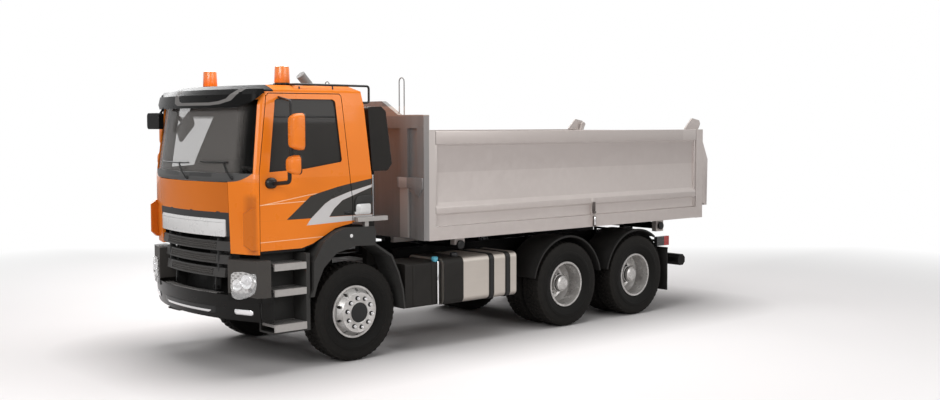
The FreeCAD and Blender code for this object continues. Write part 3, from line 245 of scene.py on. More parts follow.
def cab_shell(x, y, z):
    """Mask of reveals, door gaps and inner walls: all that lies under the painted skin."""
    up = (z - 2110).math("MAXIMUM", 0.0)
    reach = 1146 - up * 0.0582 - (z - 2900).math("MAXIMUM", 0.0) * 0.0605
    within = (reach - y.magnitude()).above(0.0, 1.5)
    within = within * (1440 - y * y * CAB_BOW - up * 0.16 - x).above(0.0, 1.5)
    within = within * (x + 218 - up * 0.0886).above(0.0, 1.5)
    return within * z.below(3035, 1.5)


def roof_paint():
    """Orange roof with the black front that the visor is set on."""
    finish = Finish("roof_orange_and_black")
    x, y, z = finish.axes()
    ahead = (x + y.magnitude() * 0.10).above(1110, 3.0)
    under = cab_shell(x, y, z)
    paint = finish.mix(ahead, orange(finish), rgb(0.010, 0.010, 0.011))
    paint = finish.mix(under, paint, rgb(0.026, 0.025, 0.024))
    return finish.done(Base_Color=paint, Roughness=finish.noise(5.0) * 0.10 + 0.34,
                       Specular_IOR_Level=0.08,
                       Normal=finish.bump(finish.noise(420, 2.0), 0.05, 0.0004))


def cowl_paint():
    """Dark plastic under the windscreen, with painted ends that climb to the pillars."""
    finish = Finish("cowl_plastic_and_paint")
    x, y, z = finish.axes()
    climb = ((y.magnitude() - 840) / 270).clipped()
    painted = (climb * climb * 95 + 2077 - z).above(0.0, 3.0)
    painted = painted * y.magnitude().above(840)
    # Painted shade: the air slots are near-black strips on the plastic, standing in for the shade inside
    # them.
    slot_shade = z.within(2121, 2165, 6.0) * y.magnitude().within(120, 540, 12)
    grain = finish.noise(900, 2.0)
    wear = finish.noise(6.0, 4.0)
    dark = finish.clouds(wear, (0.036, 0.035, 0.034), (0.050, 0.049, 0.048))
    dark = finish.mix(slot_shade, dark, rgb(0.010, 0.010, 0.010))
    return finish.done(Base_Color=finish.mix(painted, dark, orange(finish)),
                       Roughness=0.5 - painted * 0.24, Coat_Weight=painted * 0.7,
                       Coat_Roughness=0.06,
                       Normal=finish.bump((1.0 - painted) * grain, 0.2, 0.0005))


def bumper_paint():
    """Satin grey bumper corners over a glossy black lower part."""
    finish = Finish("bumper_grey_and_black")
    x, y, z = finish.axes()
    low = (880 - z - (y.magnitude() - 840).math("MAXIMUM", 0.0) * 0.10).above(0.0, 4.0)
    wear = finish.noise(6.0, 4.0)
    base = finish.clouds(wear, (0.052, 0.048, 0.044), (0.066, 0.061, 0.057))
    base = finish.mix(low, base, rgb(0.006, 0.0055, 0.005))
    return finish.done(Base_Color=base, Roughness=wear * 0.1 + 0.40 - low * 0.16,
                       Specular_IOR_Level=0.1, Coat_Weight=low * 0.08, Coat_Roughness=0.1,
                       Normal=finish.bump(finish.noise(900, 2.0), 0.15, 0.0004))


def box_and_pipe():
    """Grained black boxes; the exhaust's top is bare grey steel."""
    finish = Finish("box_plastic_and_pipe_steel")
    x, y, z = finish.axes()
    wear = finish.noise(6.0, 4.0)
    base = finish.clouds(wear, (0.012, 0.011, 0.010), (0.020, 0.018, 0.016))
    steel = z.above(2950, 60) * x.below(-560) * y.below(-700)
    base = finish.mix(steel, base, rgb(0.22, 0.215, 0.21))
    return finish.done(Base_Color=base, Roughness=wear * 0.16 + 0.40 - steel * 0.1,
                       Specular_IOR_Level=0.14,
                       Normal=finish.bump(finish.noise(600, 2.0), 0.2, 0.0005))


def cab_paint():
    finish = Finish("orange_gloss_paint")
    grey, silver, lines = side_stripes(finish)
    x, y, z = finish.axes()
    under = cab_shell(x, y, z)
    paint = finish.mix(lines * 0.75, orange(finish), rgb(0.93, 0.70, 0.48))
    paint = finish.layers(paint, (grey, (0.036, 0.034, 0.031)), (silver, (0.56, 0.545, 0.54)))
    # Painted shade: the outer part of each front corner panel, near the door, is half darkened below
    # about z 1930.
    corner = (x + y.magnitude()).above(2335, 60) * y.magnitude().within(985, 1142, 10)
    paint = finish.layers(paint, (corner * z.below(1930, 60) * 0.5, (0.30, 0.075, 0.012)),
                          (under, (0.016, 0.015, 0.015)))
    peel = finish.noise(420, 2.0)
    return finish.done(Base_Color=paint, Roughness=finish.noise(5.0) * 0.10 + under * 0.3 + 0.24,
                       Specular_IOR_Level=0.2, Coat_Weight=(1.0 - under) * 0.25, Coat_Roughness=0.06,
                       Normal=finish.bump(peel, 0.05, 0.0004))


def flap_paint():
    """Orange above the plate's recess, dark plastic in it."""
    finish = Finish("front_flap_paint")
    x, y, z = finish.axes()
    edge = 1741 + (y * 0.0127).math("SINE").above(0.93, 0.05) * 9.0
    dark = (edge - z).above(0.0)
    paint = finish.mix(dark, orange(finish), rgb(0.034, 0.034, 0.035))
    shade = (y + 500).math("MAXIMUM", 0.0) / 1900
    paint = finish.mix(shade * (1.0 - dark), paint, rgb(0.42, 0.10, 0.008))
    return finish.done(Base_Color=paint, Roughness=dark * 0.25 + 0.26,
                       Specular_IOR_Level=0.2, Coat_Weight=(1.0 - dark) * 0.2, Coat_Roughness=0.06,
                       Normal=finish.bump(finish.noise(420, 2.0), 0.05, 0.0004))


def moulded(name, colour, lighter, roughness=0.55, grain=900):
    """Grained plastic with faint cloudy wear."""
    finish = Finish(name)
    wear = finish.noise(6.0, 4.0)
    base = finish.mix(wear, rgb(*colour), rgb(*lighter))
    return finish.done(Base_Color=base, Roughness=wear * 0.16 + (roughness - 0.08),
                       Specular_IOR_Level=0.16,
                       Normal=finish.bump(finish.noise(grain, 2.0), 0.22, 0.0005))


def visor_gloss():
    """Gloss black with a grey band in the shape of a U painted on its front."""
    finish = Finish("visor_gloss_black")
    x, y, z = finish.axes()
    low = finish.curve(y, -450, 1100, [(-450, 3200), (-330, 3200), (-322, 3000), (-290, 2925),
                                            (-200, 2898), (480, 2896), (640, 2908), (800, 2945),
                                            (926, 3065), (975, 3110)])
    high = finish.curve(y, -450, 1100, [(-450, 3200), (-215, 3200), (-205, 2985), (-165, 2945),
                                             (-100, 2930), (460, 2928), (610, 2940), (720, 2966),
                                             (826, 3062), (875, 3110)])
    band = (z - low).above(0.0, 3.0) * (high - z).above(0.0, 3.0) * x.above(1150, 3.0)
    base = finish.clouds(band, (0.006, 0.006, 0.006), (0.17, 0.163, 0.158))
    return finish.done(Base_Color=base, Roughness=band * 0.2 + finish.noise(30) * 0.04 + 0.26,
                       Specular_IOR_Level=0.05,
                       Normal=finish.bump(finish.noise(300), 0.02, 0.0003))


def window_glass(name, tint, alpha, line=0.0, painted_sheen=0.0):
    """Tinted glass, with the sliding pane's dark line where it has one."""
    finish = Finish(name)
    x, y, z = finish.axes()
    # Painted light: the tint turns a fifth lighter toward the top of the glass.
    shade = finish.mix(z.above(2350, 900), rgb(*tint), rgb(*[c * 1.2 for c in tint]))
    # Painted reflection: where asked for, a grey sheen over the glass up to about y 900 stands in for its
    # reflection and makes the glass less clear there.
    painted_sheen_mask = y.below(900, 160) * painted_sheen
    shade = finish.mix(painted_sheen_mask, shade, rgb(0.23, 0.216, 0.204))
    rim = z.within(2764, 2772) * line
    shade = finish.mix(rim, shade, rgb(0.004, 0.004, 0.004))
    return finish.done(Base_Color=shade, Roughness=0.03, Alpha=painted_sheen_mask * 0.2 + rim * 0.04 + alpha,
                       Specular_IOR_Level=0.12)


def chassis_paint(name, colour, dust):
    """Black frame paint with road dust that gathers low down."""
    finish = Finish(name)
    x, y, z = finish.axes()
    patches = finish.noise(9.0, 5.0).within(0.48, 0.75, 0.2)
    low = z.below(700, 900)
    base = finish.mix(patches * low * 0.6, rgb(*colour), rgb(*dust))
    return finish.done(Base_Color=base, Roughness=patches * 0.2 + 0.42, Specular_IOR_Level=0.12,
                       Normal=finish.bump(finish.noise(160), 0.12, 0.0008))


def brushed(name, colour, stretch, roughness=0.30):
    """Metal with fine brush marks along one axis."""
    finish = Finish(name)
    marks = finish.noise(90, 4.0, stretch)
    broad = finish.noise(3.0, 2.0)
    base = finish.mix(marks * 0.5 + broad * 0.4, rgb(*[c * 0.82 for c in colour]), rgb(*colour))
    return finish.done(Base_Color=base, Metallic=0.85, Roughness=marks * 0.14 + roughness,
                       Normal=finish.bump(marks, 0.08, 0.0004))


def body_silver():
    """Warm silver body paint with chalky wear, and painted shade on each gate above its crease and on the
    top rails.
    """
    finish = Finish("body_silver_paint")
    x, y, z = finish.axes()
    wave = finish.noise(1.1, 2.0, (0.5, 1.0, 2.0))
    wear = finish.noise(14, 5.0).within(0.55, 0.8, 0.2)
    # Painted shade: each gate's panel above its crease at z 2112 is darkened.
    gate = y.magnitude().below(1262) * z.within(1780, 2440)
    upper = gate * z.above(2112)
    base = finish.clouds(wave, (0.465, 0.415, 0.392), (0.515, 0.465, 0.442))
    base = finish.layers(base, (wear * 0.2, (0.56, 0.515, 0.49)), (upper * 0.4, (0.40, 0.352, 0.335)))
    # Painted shade: the top rails are darkened too.
    rail = z.above(2446, 3.0) * x.above(-5780)
    base = finish.mix(rail * 0.4, base, rgb(0.38, 0.335, 0.315))
    return finish.done(Base_Color=base, Metallic=0.3, Roughness=wear * 0.12 + 0.34,
                       Coat_Weight=0.15, Coat_Roughness=0.2,
                       Normal=finish.bump(finish.noise(240), 0.06, 0.0005))


def headboard_steel():
    """Bare weathered steel with a painted reflection of the orange cab, warmer near the cab's roof and in
    a pale warm band along its beam, and silver corner posts and inner posts.
    """
    finish = Finish("headboard_bare_steel")
    x, y, z = finish.axes()
    streak = finish.noise(16, 4.0, (1.0, 1.0, 0.06))
    base = finish.clouds(streak, (0.175, 0.168, 0.166), (0.27, 0.256, 0.25))
    # Painted reflection of the orange cab: warmer toward the top, and a pale warm band along the beam.
    cab_reflection = z.above(2600, 700)
    base = finish.mix(cab_reflection * 0.4, base, rgb(0.31, 0.262, 0.24))
    beam_reflection = z.within(2785, 2905, 4.0)
    base = finish.mix(beam_reflection * 0.5, base, rgb(0.48, 0.36, 0.29))
    hoop = z.above(2905, 4.0) * y.magnitude().above(470)
    base = finish.mix(hoop, base, rgb(0.20, 0.195, 0.19))
    pale = y.magnitude().within(812, 968) * x.above(-945) * z.below(2052)
    post = y.magnitude().above(1200) * x.below(-1000)
    base = finish.layers(base, (pale, (0.42, 0.385, 0.365)), (post, (0.50, 0.455, 0.432)))
    return finish.done(Base_Color=base, Metallic=0.4, Roughness=streak * 0.2 + 0.32,
                       Normal=finish.bump(streak, 0.08, 0.0008))


def tyre_rubber():
    """Rubber with moulded rings on the sidewall and dust in the tread."""
    finish = Finish("tyre_rubber")
    x, y, z = finish.axes()
    up = z - TYRE_RADIUS
    nearest = x.magnitude()
    for axle in REAR_AXLES.values():
        nearest = nearest.math("MINIMUM", (x - axle).magnitude())
    reach = (nearest * nearest + up * up).math("SQRT")
    rings = (reach * 0.35).math("SINE") * reach.within(330, 520, 20)
    dust = finish.noise(18, 5.0) * reach.above(470, 160)
    base = finish.clouds(dust, (0.007, 0.0066, 0.006), (0.022, 0.020, 0.018))
    height = rings * 0.5 + finish.noise(300) * 0.2
    return finish.done(Base_Color=base, Roughness=dust * 0.2 + 0.60, Specular_IOR_Level=0.1,
                       Normal=finish.bump(height, 0.35, 0.0022))


def rim_silver():
    """Bright wheel paint whose rims shine, with brake dust inside."""
    finish = Finish("rim_silver_paint")
    dust = finish.noise(9.0, 3.0).within(0.5, 0.85, 0.3)
    base = finish.clouds(dust, (0.58, 0.565, 0.55), (0.40, 0.385, 0.37))
    return finish.done(Base_Color=base, Metallic=0.55, Roughness=dust * 0.2 + 0.22,
                       Normal=finish.bump(finish.noise(120), 0.08, 0.0006))


def tread_plate():
    """Aluminium step plate with rows of round holes in its top and a plain bright lip."""
    finish = Finish("step_tread_aluminium")
    x, y, z = finish.axes()
    pitch = 46
    wave_x = (x * (2 * math.pi / pitch)).math("COSINE")
    wave_y = (y * (2 * math.pi / pitch)).math("COSINE")
    top = y.magnitude().within(985, 1192)
    front_step = x.above(1240)
    # Painted shade: the holes are near-black colour with a dent, standing in for the shade inside them.
    hole_shade = (wave_x + wave_y).above(0.7, 0.3) * (top + front_step).math("MINIMUM", 1.0)
    wear = finish.noise(30, 4.0)
    base = finish.clouds(wear, (0.30, 0.285, 0.272), (0.38, 0.362, 0.347))
    base = finish.layers(base, ((top + front_step).math("MINIMUM", 1.0) * 0.7, (0.20, 0.19, 0.185)),
                         (hole_shade, (0.02, 0.02, 0.02)))
    return finish.done(Base_Color=base, Metallic=0.4, Roughness=wear * 0.2 + 0.36,
                       Normal=finish.bump(1.0 - hole_shade, 0.5, 0.003))


def lamp_lenses():
    """Bright reflectors behind the headlamp covers; dark rear housings with red lenses."""
    finish = Finish("lamp_lenses")
    x, y, z = finish.axes()
    rear = x.below(-3000)
    red = rear * x.below(-5450)
    facets = (z * 0.11).math("SINE") * (y * 0.09).math("SINE")
    bright = finish.clouds(facets.above(0.2, 0.8), (0.60, 0.59, 0.58), (0.34, 0.33, 0.32))
    base = finish.mix(rear, bright, rgb(0.012, 0.012, 0.012))
    base = finish.mix(red, base, rgb(0.36, 0.010, 0.008))
    return finish.done(Base_Color=base, Metallic=(1.0 - rear) * 0.7, Roughness=0.14,
                       Coat_Weight=0.6, Normal=finish.bump(facets, 0.5, 0.004))


def beacon_amber():
    """Amber dome with fine rings moulded in its lens."""
    finish = Finish("beacon_amber")
    x, y, z = finish.axes()
    ribs = (z * 0.7).math("SINE")
    base = finish.clouds(ribs * 0.5 + 0.5, (0.80, 0.19, 0.015), (0.90, 0.24, 0.02))
    return finish.done(Base_Color=base, Roughness=0.20, Coat_Weight=0.6,
                       Normal=finish.bump(ribs, 0.25, 0.001))


def lens_clear():
    """Clear cover of the headlamps."""
    finish = Finish("clear_lens_cover")
    return finish.done(Base_Color=finish.clouds(finish.noise(20), (0.9, 0.9, 0.9), (1, 1, 1)),
                       Roughness=0.03, Alpha=0.22, Coat_Weight=1.0, Coat_Roughness=0.02)


def plain_gloss(name, colour, roughness, metallic=0.0):
    """Small hard piece with faint cloudiness, so that it doesn't look flat."""
    finish = Finish(name)
    cloud = finish.noise(5.0, 3.0)
    base = finish.mix(cloud, rgb(*[c * 0.9 for c in colour]), rgb(*colour))
    return finish.done(Base_Color=base, Metallic=metallic,
                       Roughness=cloud * 0.08 + (roughness - 0.04), Specular_IOR_Level=0.3)


paint = cab_paint()
flap = flap_paint()
roof_finish = roof_paint()
cowl_finish = cowl_paint()
shell_paint = plain_gloss("mirror_shell_orange", (0.82, 0.205, 0.020), 0.28)
trim = moulded("dark_grained_plastic", (0.022, 0.022, 0.022), (0.034, 0.034, 0.034), 0.52)
guard = moulded("guard_plastic", (0.030, 0.029, 0.028), (0.040, 0.039, 0.037), 0.60)
rear_guard_plastic = moulded("rear_guard_plastic", (0.010, 0.0095, 0.009), (0.018, 0.017, 0.016))
bumper_finish = bumper_paint()
grille_plastic = moulded("grille_plastic", (0.044, 0.042, 0.041), (0.058, 0.056, 0.054), 0.45)
interior = moulded("interior_plastic", (0.030, 0.030, 0.031), (0.050, 0.049, 0.048), 0.70, 500)
black_gloss = visor_gloss()
# Painted shade: the left door's glass is nearly opaque and dark, standing in for the shaded cab behind
# it, while the right door's glass is nearly clear.
glass = window_glass("tinted_window_glass", (0.030, 0.028, 0.026), 0.95, 1.0)
far_glass = window_glass("far_window_glass", (0.020, 0.020, 0.019), 0.10)
# Painted reflection: the windscreen gets the grey sheen.
screen_glass = window_glass("windscreen_glass", (0.018, 0.018, 0.017), 0.12, 0.0, 1.0)
frame_paint = chassis_paint("frame_black_paint", (0.007, 0.007, 0.007), (0.022, 0.020, 0.018))
cast_paint = chassis_paint("cast_black_paint", (0.009, 0.009, 0.009), (0.026, 0.023, 0.020))
engine_paint = chassis_paint("engine_grey_paint", (0.045, 0.045, 0.045), (0.06, 0.055, 0.05))
mesh_plastic = moulded("mesh_plastic", (0.085, 0.080, 0.076), (0.105, 0.100, 0.095), 0.5)
box_plastic = box_and_pipe()
tank_metal = brushed("tank_brushed_aluminium", (0.56, 0.51, 0.46), (0.05, 1.0, 1.0), 0.30)
ram_steel = brushed("ram_ground_steel", (0.62, 0.63, 0.65), (1.0, 1.0, 0.05), 0.20)
silver_paint = body_silver()
bare_steel = headboard_steel()
rubber = tyre_rubber()
rim_paint = rim_silver()
step_metal = tread_plate()
lenses = lamp_lenses()
amber = beacon_amber()
chrome = plain_gloss("bright_chrome", (0.80, 0.80, 0.81), 0.10, 1.0)
plate_silver = plain_gloss("plate_pale_silver", (0.74, 0.735, 0.73), 0.28, 0.15)
dark_steel = plain_gloss("latch_dark_steel", (0.10, 0.085, 0.080), 0.40, 0.7)
black_part = plain_gloss("black_small_part", (0.008, 0.008, 0.008), 0.34)
cap_blue = plain_gloss("filler_cap_blue", (0.10, 0.38, 0.50), 0.30)
mirror_glass = plain_gloss("mirror_glass", (0.75, 0.77, 0.78), 0.05, 1.0)
lamp_bowl = plain_gloss("lamp_reflector", (0.86, 0.86, 0.87), 0.12, 1.0)
clear_lens = lens_clear()

NODE_FINISH = {
    "cab_roof": roof_finish, "cab_rear_wall": paint, "cab_sides": paint, "corner_panels": paint,
    "door_left": paint, "door_right": paint, "front_flap": flap, "windscreen": screen_glass,
    "door_glass_left": glass, "door_glass_right": far_glass, "windscreen_cowl": cowl_finish,
    "cab_floor": trim, "cab_interior": interior, "sun_visor": black_gloss,
    "roof_beacons": amber, "roof_rails": black_part, "lower_grille": trim,
    "frame_rails": frame_paint, "cross_members": frame_paint, "tipper_subframe": frame_paint,
    "front_axle": cast_paint, "rear_axles": cast_paint, "knuckle_left": cast_paint,
    "knuckle_right": cast_paint, "tie_rod": cast_paint, "driveline": engine_paint,
    "front_bumper": bumper_finish, "lamps": lenses, "entry_steps": step_metal,
    "front_mudguards": guard, "rear_mudguards": guard, "fuel_tank": tank_metal,
    "side_boxes": box_plastic, "intake_and_exhaust": box_plastic, "rear_underrun": frame_paint,
    "bed_floor": silver_paint, "headboard": bare_steel, "rear_posts": silver_paint,
    "gate_left": silver_paint, "gate_right": silver_paint, "tailgate": silver_paint,
    "cyl_barrel": frame_paint,
}


def finish_for(node):
    if node in NODE_FINISH:
        return NODE_FINISH[node]
    if node.startswith("tyre"):
        return rubber
    if node.startswith("rim"):
        return rim_paint
    if node.startswith("mirror"):
        return paint
    if node.startswith("cyl_stage"):
        return ram_steel
    return frame_paint


for node_name, node_object in frame["nodes"].items():
    node_object.data.materials.clear()
    node_object.data.materials.append(finish_for(node_name))

# Building pieces

SIDES = (("left", 1.0), ("right", -1.0))
PLATE_BOW = 1.62e-4
TIP_TUBE_Z = 1205
MIRROR_ARM_Y = 1440


def linked(name, data):
    """New object in the scene's own collection."""
    thing = bpy.data.objects.new(name, data)
    bpy.context.scene.collection.objects.link(thing)
    return thing


def mesh_of(name, bm):
    """Mesh of a bmesh, which is then freed."""
    mesh = bpy.data.meshes.new(name)
    bm.to_mesh(mesh)
    bm.free()
    return mesh


def settle(name, mesh, body, smooth=35):
    """Place a finished mesh in the scene and let it ride on a body."""
    for polygon in mesh.polygons:
        polygon.use_smooth = True
    mesh.set_sharp_from_angle(angle=math.radians(smooth))
    thing = linked(name, mesh)
    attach(thing, body)
    return thing


def made_plain(thing):
    """The evaluated mesh of an object, which is then taken away."""
    graph = bpy.context.evaluated_depsgraph_get()
    mesh = bpy.data.meshes.new_from_object(thing.evaluated_get(graph))
    bpy.data.objects.remove(thing)
    return mesh


def piece(name, bm, finish, body, bevel=0.0, segments=2, smooth=35):
    """Object from a bmesh in millimetres, with rounded edges where a bevel is asked for."""
    bmesh.ops.remove_doubles(bm, verts=bm.verts, dist=0.02)
    bmesh.ops.recalc_face_normals(bm, faces=bm.faces)
    for vertex in bm.verts:
        vertex.co = at(*vertex.co)
    mesh = mesh_of(name, bm)
    mesh.materials.append(finish)
    if bevel:
        rough = linked(name + "_rough", mesh)
        edge = rough.modifiers.new("edge", "BEVEL")
        edge.width = bevel / 1000
        edge.segments = segments
        edge.limit_method = "ANGLE"
        edge.angle_limit = math.radians(25)
        mesh = made_plain(rough)
    return settle(name, mesh, body, smooth)


def dress(things, node=None):
    """Hide the model's solid that some pieces stand for, where they do."""
    for thing in things:
        if node:
            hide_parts(node)


def form(add, *sizes):
    """New bmesh that holds one drawn form."""
    bm = bmesh.new()
    add(bm, *sizes)
    return bm


def turns_of(steps):
    return [2 * math.pi * index / steps for index in range(steps)]


def add_box(bm, x0, x1, y0, y1, z0, z1):
    corners = [bm.verts.new((x, y, z)) for x in (x0, x1) for y in (y0, y1) for z in (z0, z1)]
    for face in ((0, 1, 3, 2), (4, 6, 7, 5), (0, 4, 5, 1), (2, 3, 7, 6), (0, 2, 6, 4), (1, 5, 7, 3)):
        bm.faces.new([corners[i] for i in face])


def corner_loops(bm, rings):
    return [[bm.verts.new(corner) for corner in ring] for ring in rings]


def join(bm, low, high):
    """Wall of faces between two closed loops of corners."""
    for corners in zip(low, low[1:] + low[:1], high[1:] + high[:1], high):
        bm.faces.new(corners)


def add_loft(bm, rings):
    """Closed form through rings of corners, from one end to the other."""
    loops = corner_loops(bm, rings)
    bm.faces.new(loops[0])
    bm.faces.new(loops[-1][::-1])
    for low, high in zip(loops, loops[1:]):
        join(bm, low, high)


def add_sleeve(bm, rings):
    """Hollow form through rings of corners, the last joined to the first."""
    loops = corner_loops(bm, rings)
    for low, high in zip(loops, loops[1:] + loops[:1]):
        join(bm, low, high)


def add_band(bm, rings):
    """Four walls between the outer and inner rings of a band's two ends."""
    loops = corner_loops(bm, rings)
    for first, second in ((0, 2), (1, 3), (0, 1), (2, 3)):
        join(bm, loops[first], loops[second])


def add_prism(bm, outline, axis, start, end):
    """Prism of an outline across the y or x axis, from start to end."""
    def ring(c):
        return [(a, c, b) if axis == "y" else (c, a, b) for a, b in outline]
    add_loft(bm, [ring(start), ring(end)])


def add_ring(bm, profile, centre, outward, steps=48):
    """Turned form about a wheel's axis, from (offset outward, radius) points."""
    x, y, z = centre
    add_sleeve(bm, [[(x + r * math.cos(turn), y + outward * o, z + r * math.sin(turn))
                     for o, r in profile] for turn in turns_of(steps)])


def add_rod(bm, start, end, radius, steps=16):
    """Closed round bar between two points."""
    start = Vector(start)
    way = Vector(end) - start
    turn = way.to_track_quat("Z", "Y").to_matrix().to_4x4()
    place = Matrix.Translation(start + way / 2) @ turn
    bmesh.ops.create_cone(bm, cap_ends=True, segments=steps, radius1=radius, radius2=radius,
                          depth=way.length, matrix=place)


def add_column(bm, profile, x, y, steps=40):
    """Upright turned form from (radius, z) points."""
    add_loft(bm, [[(x + r * math.cos(turn), y + r * math.sin(turn), z) for turn in turns_of(steps)]
                  for r, z in profile])


def rounded_corners(a0, a1, b0, b1, radius, steps=6):
    """Centre and direction of each point of a rounded rectangle."""
    for a, b, start in ((a1 - radius, b1 - radius, 0), (a0 + radius, b1 - radius, 90),
                        (a0 + radius, b0 + radius, 180), (a1 - radius, b0 + radius, 270)):
        for step in range(steps + 1):
            angle = math.radians(start + 90 * step / steps)
            yield a, b, math.cos(angle), math.sin(angle)


def rounded_outline(a0, a1, b0, b1, radius):
    """Corners of a rounded rectangle."""
    return [(a + radius * c, b + radius * s) for a, b, c, s in rounded_corners(a0, a1, b0, b1, radius)]


def add_side_pad(bm, levels, x0, x1, z0, z1, radius, shrink=1.0):
    """Rounded pad on the truck's side, through (y, inset) levels."""
    rings = []
    for y, inset in levels:
        outline = rounded_outline(x0 + inset, x1 - inset, z0 + inset, z1 - inset,
                                  radius - inset * shrink)
        rings.append([(x, y, z) for x, z in outline])
    add_loft(bm, rings)


def both(label, parts, finish, body, slot, node=None, **edges):
    """A piece drawn on the left, and its mirror image; * stands for the side's name."""
    for name, side in SIDES:
        bm = bmesh.new()
        for add, *sizes in parts:
            add(bm, *sizes)
        for vertex in bm.verts:
            vertex.co.y *= side
        thing = piece(label + "_" + name, bm, finish, body.replace("*", name), **edges)
        dress([thing], node and node.replace("*", name))


def bends(points, reach):
    """Points with one more on each side of every corner, so that a tube's runs stay straight."""
    places = [Vector(point) for point in points]
    out = [places[0]]
    for before, corner, after in zip(places, places[1:], places[2:]):
        out.append(corner + (before - corner).normalized() * reach)
        out.append(corner)
        out.append(corner + (after - corner).normalized() * reach)
    return out + [places[-1]]


def tube(name, points, radius, finish, body):
    """Round tube through points, smooth at each bend."""
    curve = bpy.data.curves.new(name, "CURVE")
    curve.dimensions = "3D"
    curve.bevel_depth = radius / 1000
    curve.bevel_resolution = 4
    curve.resolution_u = 10
    curve.use_fill_caps = True
    spline = curve.splines.new("NURBS")
    spline.points.add(len(points) - 1)
    for point, place in zip(spline.points, points):
        point.co = (*at(*place), 1.0)
    spline.order_u = 3
    spline.use_endpoint_u = True
    mesh = made_plain(linked(name + "_rough", curve))
    mesh.materials.append(finish)
    return settle(name, mesh, body)


def bowed(bm, levels, bow, depth, steps=24, y_from=-1.0, y_to=1.0):
    """Strip that bows forward, through (z, nose x, half width) levels."""
    front = []
    back = []
    for z, nose, half in levels:
        rows = ([], [])
        for index in range(steps + 1):
            y = half * (y_from + (y_to - y_from) * index / steps)
            x = nose - bow * y * y
            rows[0].append(bm.verts.new((x, y, z)))
            rows[1].append(bm.verts.new((x - depth, y, z)))
        front.append(rows[0])
        back.append(rows[1])
    edges = ((front[0], back[0]), (front[-1], back[-1]))
    for low, high in [*zip(front, front[1:]), *zip(back, back[1:]), *edges]:
        for i in range(steps):
            bm.faces.new([low[i], low[i + 1], high[i + 1], high[i]])
    for end in (0, -1):
        for k in range(len(levels) - 1):
            bm.faces.new([front[k][end], front[k + 1][end], back[k + 1][end], back[k][end]])


# Repeats

class Tree:
    """Geometry tree with named inputs for its sizes."""

    def __init__(self, name, *sizes):
        self.tree = bpy.data.node_groups.new(name, "GeometryNodeTree")
        face = self.tree.interface
        face.new_socket("Geometry", in_out="OUTPUT", socket_type="NodeSocketGeometry")
        inputs = self.tree.nodes.new("NodeGroupInput")
        self.keys = {}
        for size, kind in sizes:
            socket = face.new_socket(size, in_out="INPUT", socket_type="NodeSocket" + kind)
            self.keys[size] = socket.identifier
        self.sizes = [inputs.outputs[size] for size, kind in sizes]

    def node(self, kind, settings=None, inputs=None):
        return add_node(self.tree, kind, settings, inputs)

    def out(self, kind, settings, inputs):
        return self.node(kind, settings, inputs).outputs[0]

    def math(self, operation, first, second):
        return self.out("ShaderNodeMath", {"operation": operation}, {0: first, 1: second})

    def vector(self, operation, inputs):
        return self.out("ShaderNodeVectorMath", {"operation": operation}, inputs)

    def line_of(self, count):
        """As many points as asked for, all in one place, and their numbers."""
        line = self.out("GeometryNodeMeshLine", None, {"Count": count, "Offset": (0.0, 0.0, 0.0)})
        return line, self.node("GeometryNodeInputIndex").outputs[0]

    def copies(self, item, points, **more):
        """Copies of an object on points."""
        shape = self.node("GeometryNodeObjectInfo", None, {"Object": item})
        inputs = {"Points": points, "Instance": shape.outputs["Geometry"], **more}
        return self.out("GeometryNodeInstanceOnPoints", None, inputs)

    def close(self, instances, finish):
        real = self.out("GeometryNodeRealizeInstances", None, {0: instances})
        dressed = self.out("GeometryNodeSetMaterial", None, {"Geometry": real, "Material": finish})
        self.node("NodeGroupOutput", None, {0: dressed})


def wheel_copies_tree():
    """Copies of one piece turned about a wheel's axis."""
    tree = Tree("copies_round_a_wheel", ("Item", "Object"), ("Copies", "Int"),
                ("Start angle", "Float"), ("Centre", "Vector"), ("Finish", "Material"))
    item, copies, start, centre, finish = tree.sizes
    line, index = tree.line_of(copies)
    step = tree.math("DIVIDE", 2 * math.pi, copies)
    angle = tree.math("ADD", tree.math("MULTIPLY", index, step), start)
    turn = tree.out("ShaderNodeCombineXYZ", None, {"Y": angle})
    spread = tree.copies(item, line, Rotation=turn)
    moved = tree.out("GeometryNodeTransform", None, {"Geometry": spread, "Translation": centre})
    tree.close(moved, finish)
    return tree


def grid_copies_tree():
    """Rows of copies of one piece, each second row shifted, on a face that bows along Y."""
    tree = Tree("copies_in_rows", ("Item", "Object"), ("Columns", "Int"), ("Rows", "Int"),
                ("Step along", "Vector"), ("Step up", "Vector"), ("Start", "Vector"),
                ("Bow", "Float"), ("Finish", "Material"))
    item, columns, rows, step_along, step_up, start, bow, finish = tree.sizes
    line, index = tree.line_of(tree.math("MULTIPLY", columns, rows))
    column = tree.math("MODULO", index, columns)
    row = tree.math("FLOOR", tree.math("DIVIDE", index, columns), 0.0)
    shift = tree.math("MULTIPLY", tree.math("MODULO", row, 2.0), 0.5)
    column = tree.math("ADD", column, shift)
    along = tree.vector("SCALE", {0: step_along, "Scale": column})
    up = tree.vector("SCALE", {0: step_up, "Scale": row})
    place = tree.vector("ADD", {0: tree.vector("ADD", {0: along, 1: up}), 1: start})
    set_out = tree.out("GeometryNodeSetPosition", None, {"Geometry": line, "Position": place})
    real = tree.out("GeometryNodeRealizeInstances", None, {0: tree.copies(item, set_out)})
    here = tree.node("ShaderNodeSeparateXYZ", None,
                     {0: tree.node("GeometryNodeInputPosition").outputs[0]})
    square = tree.math("MULTIPLY", here.outputs["Y"], here.outputs["Y"])
    back = tree.math("MULTIPLY", tree.math("MULTIPLY", square, bow), -1.0)
    offset = tree.out("ShaderNodeCombineXYZ", None, {"X": back})
    bent = tree.out("GeometryNodeSetPosition", None, {"Geometry": real, "Offset": offset})
    tree.close(bent, finish)
    return tree


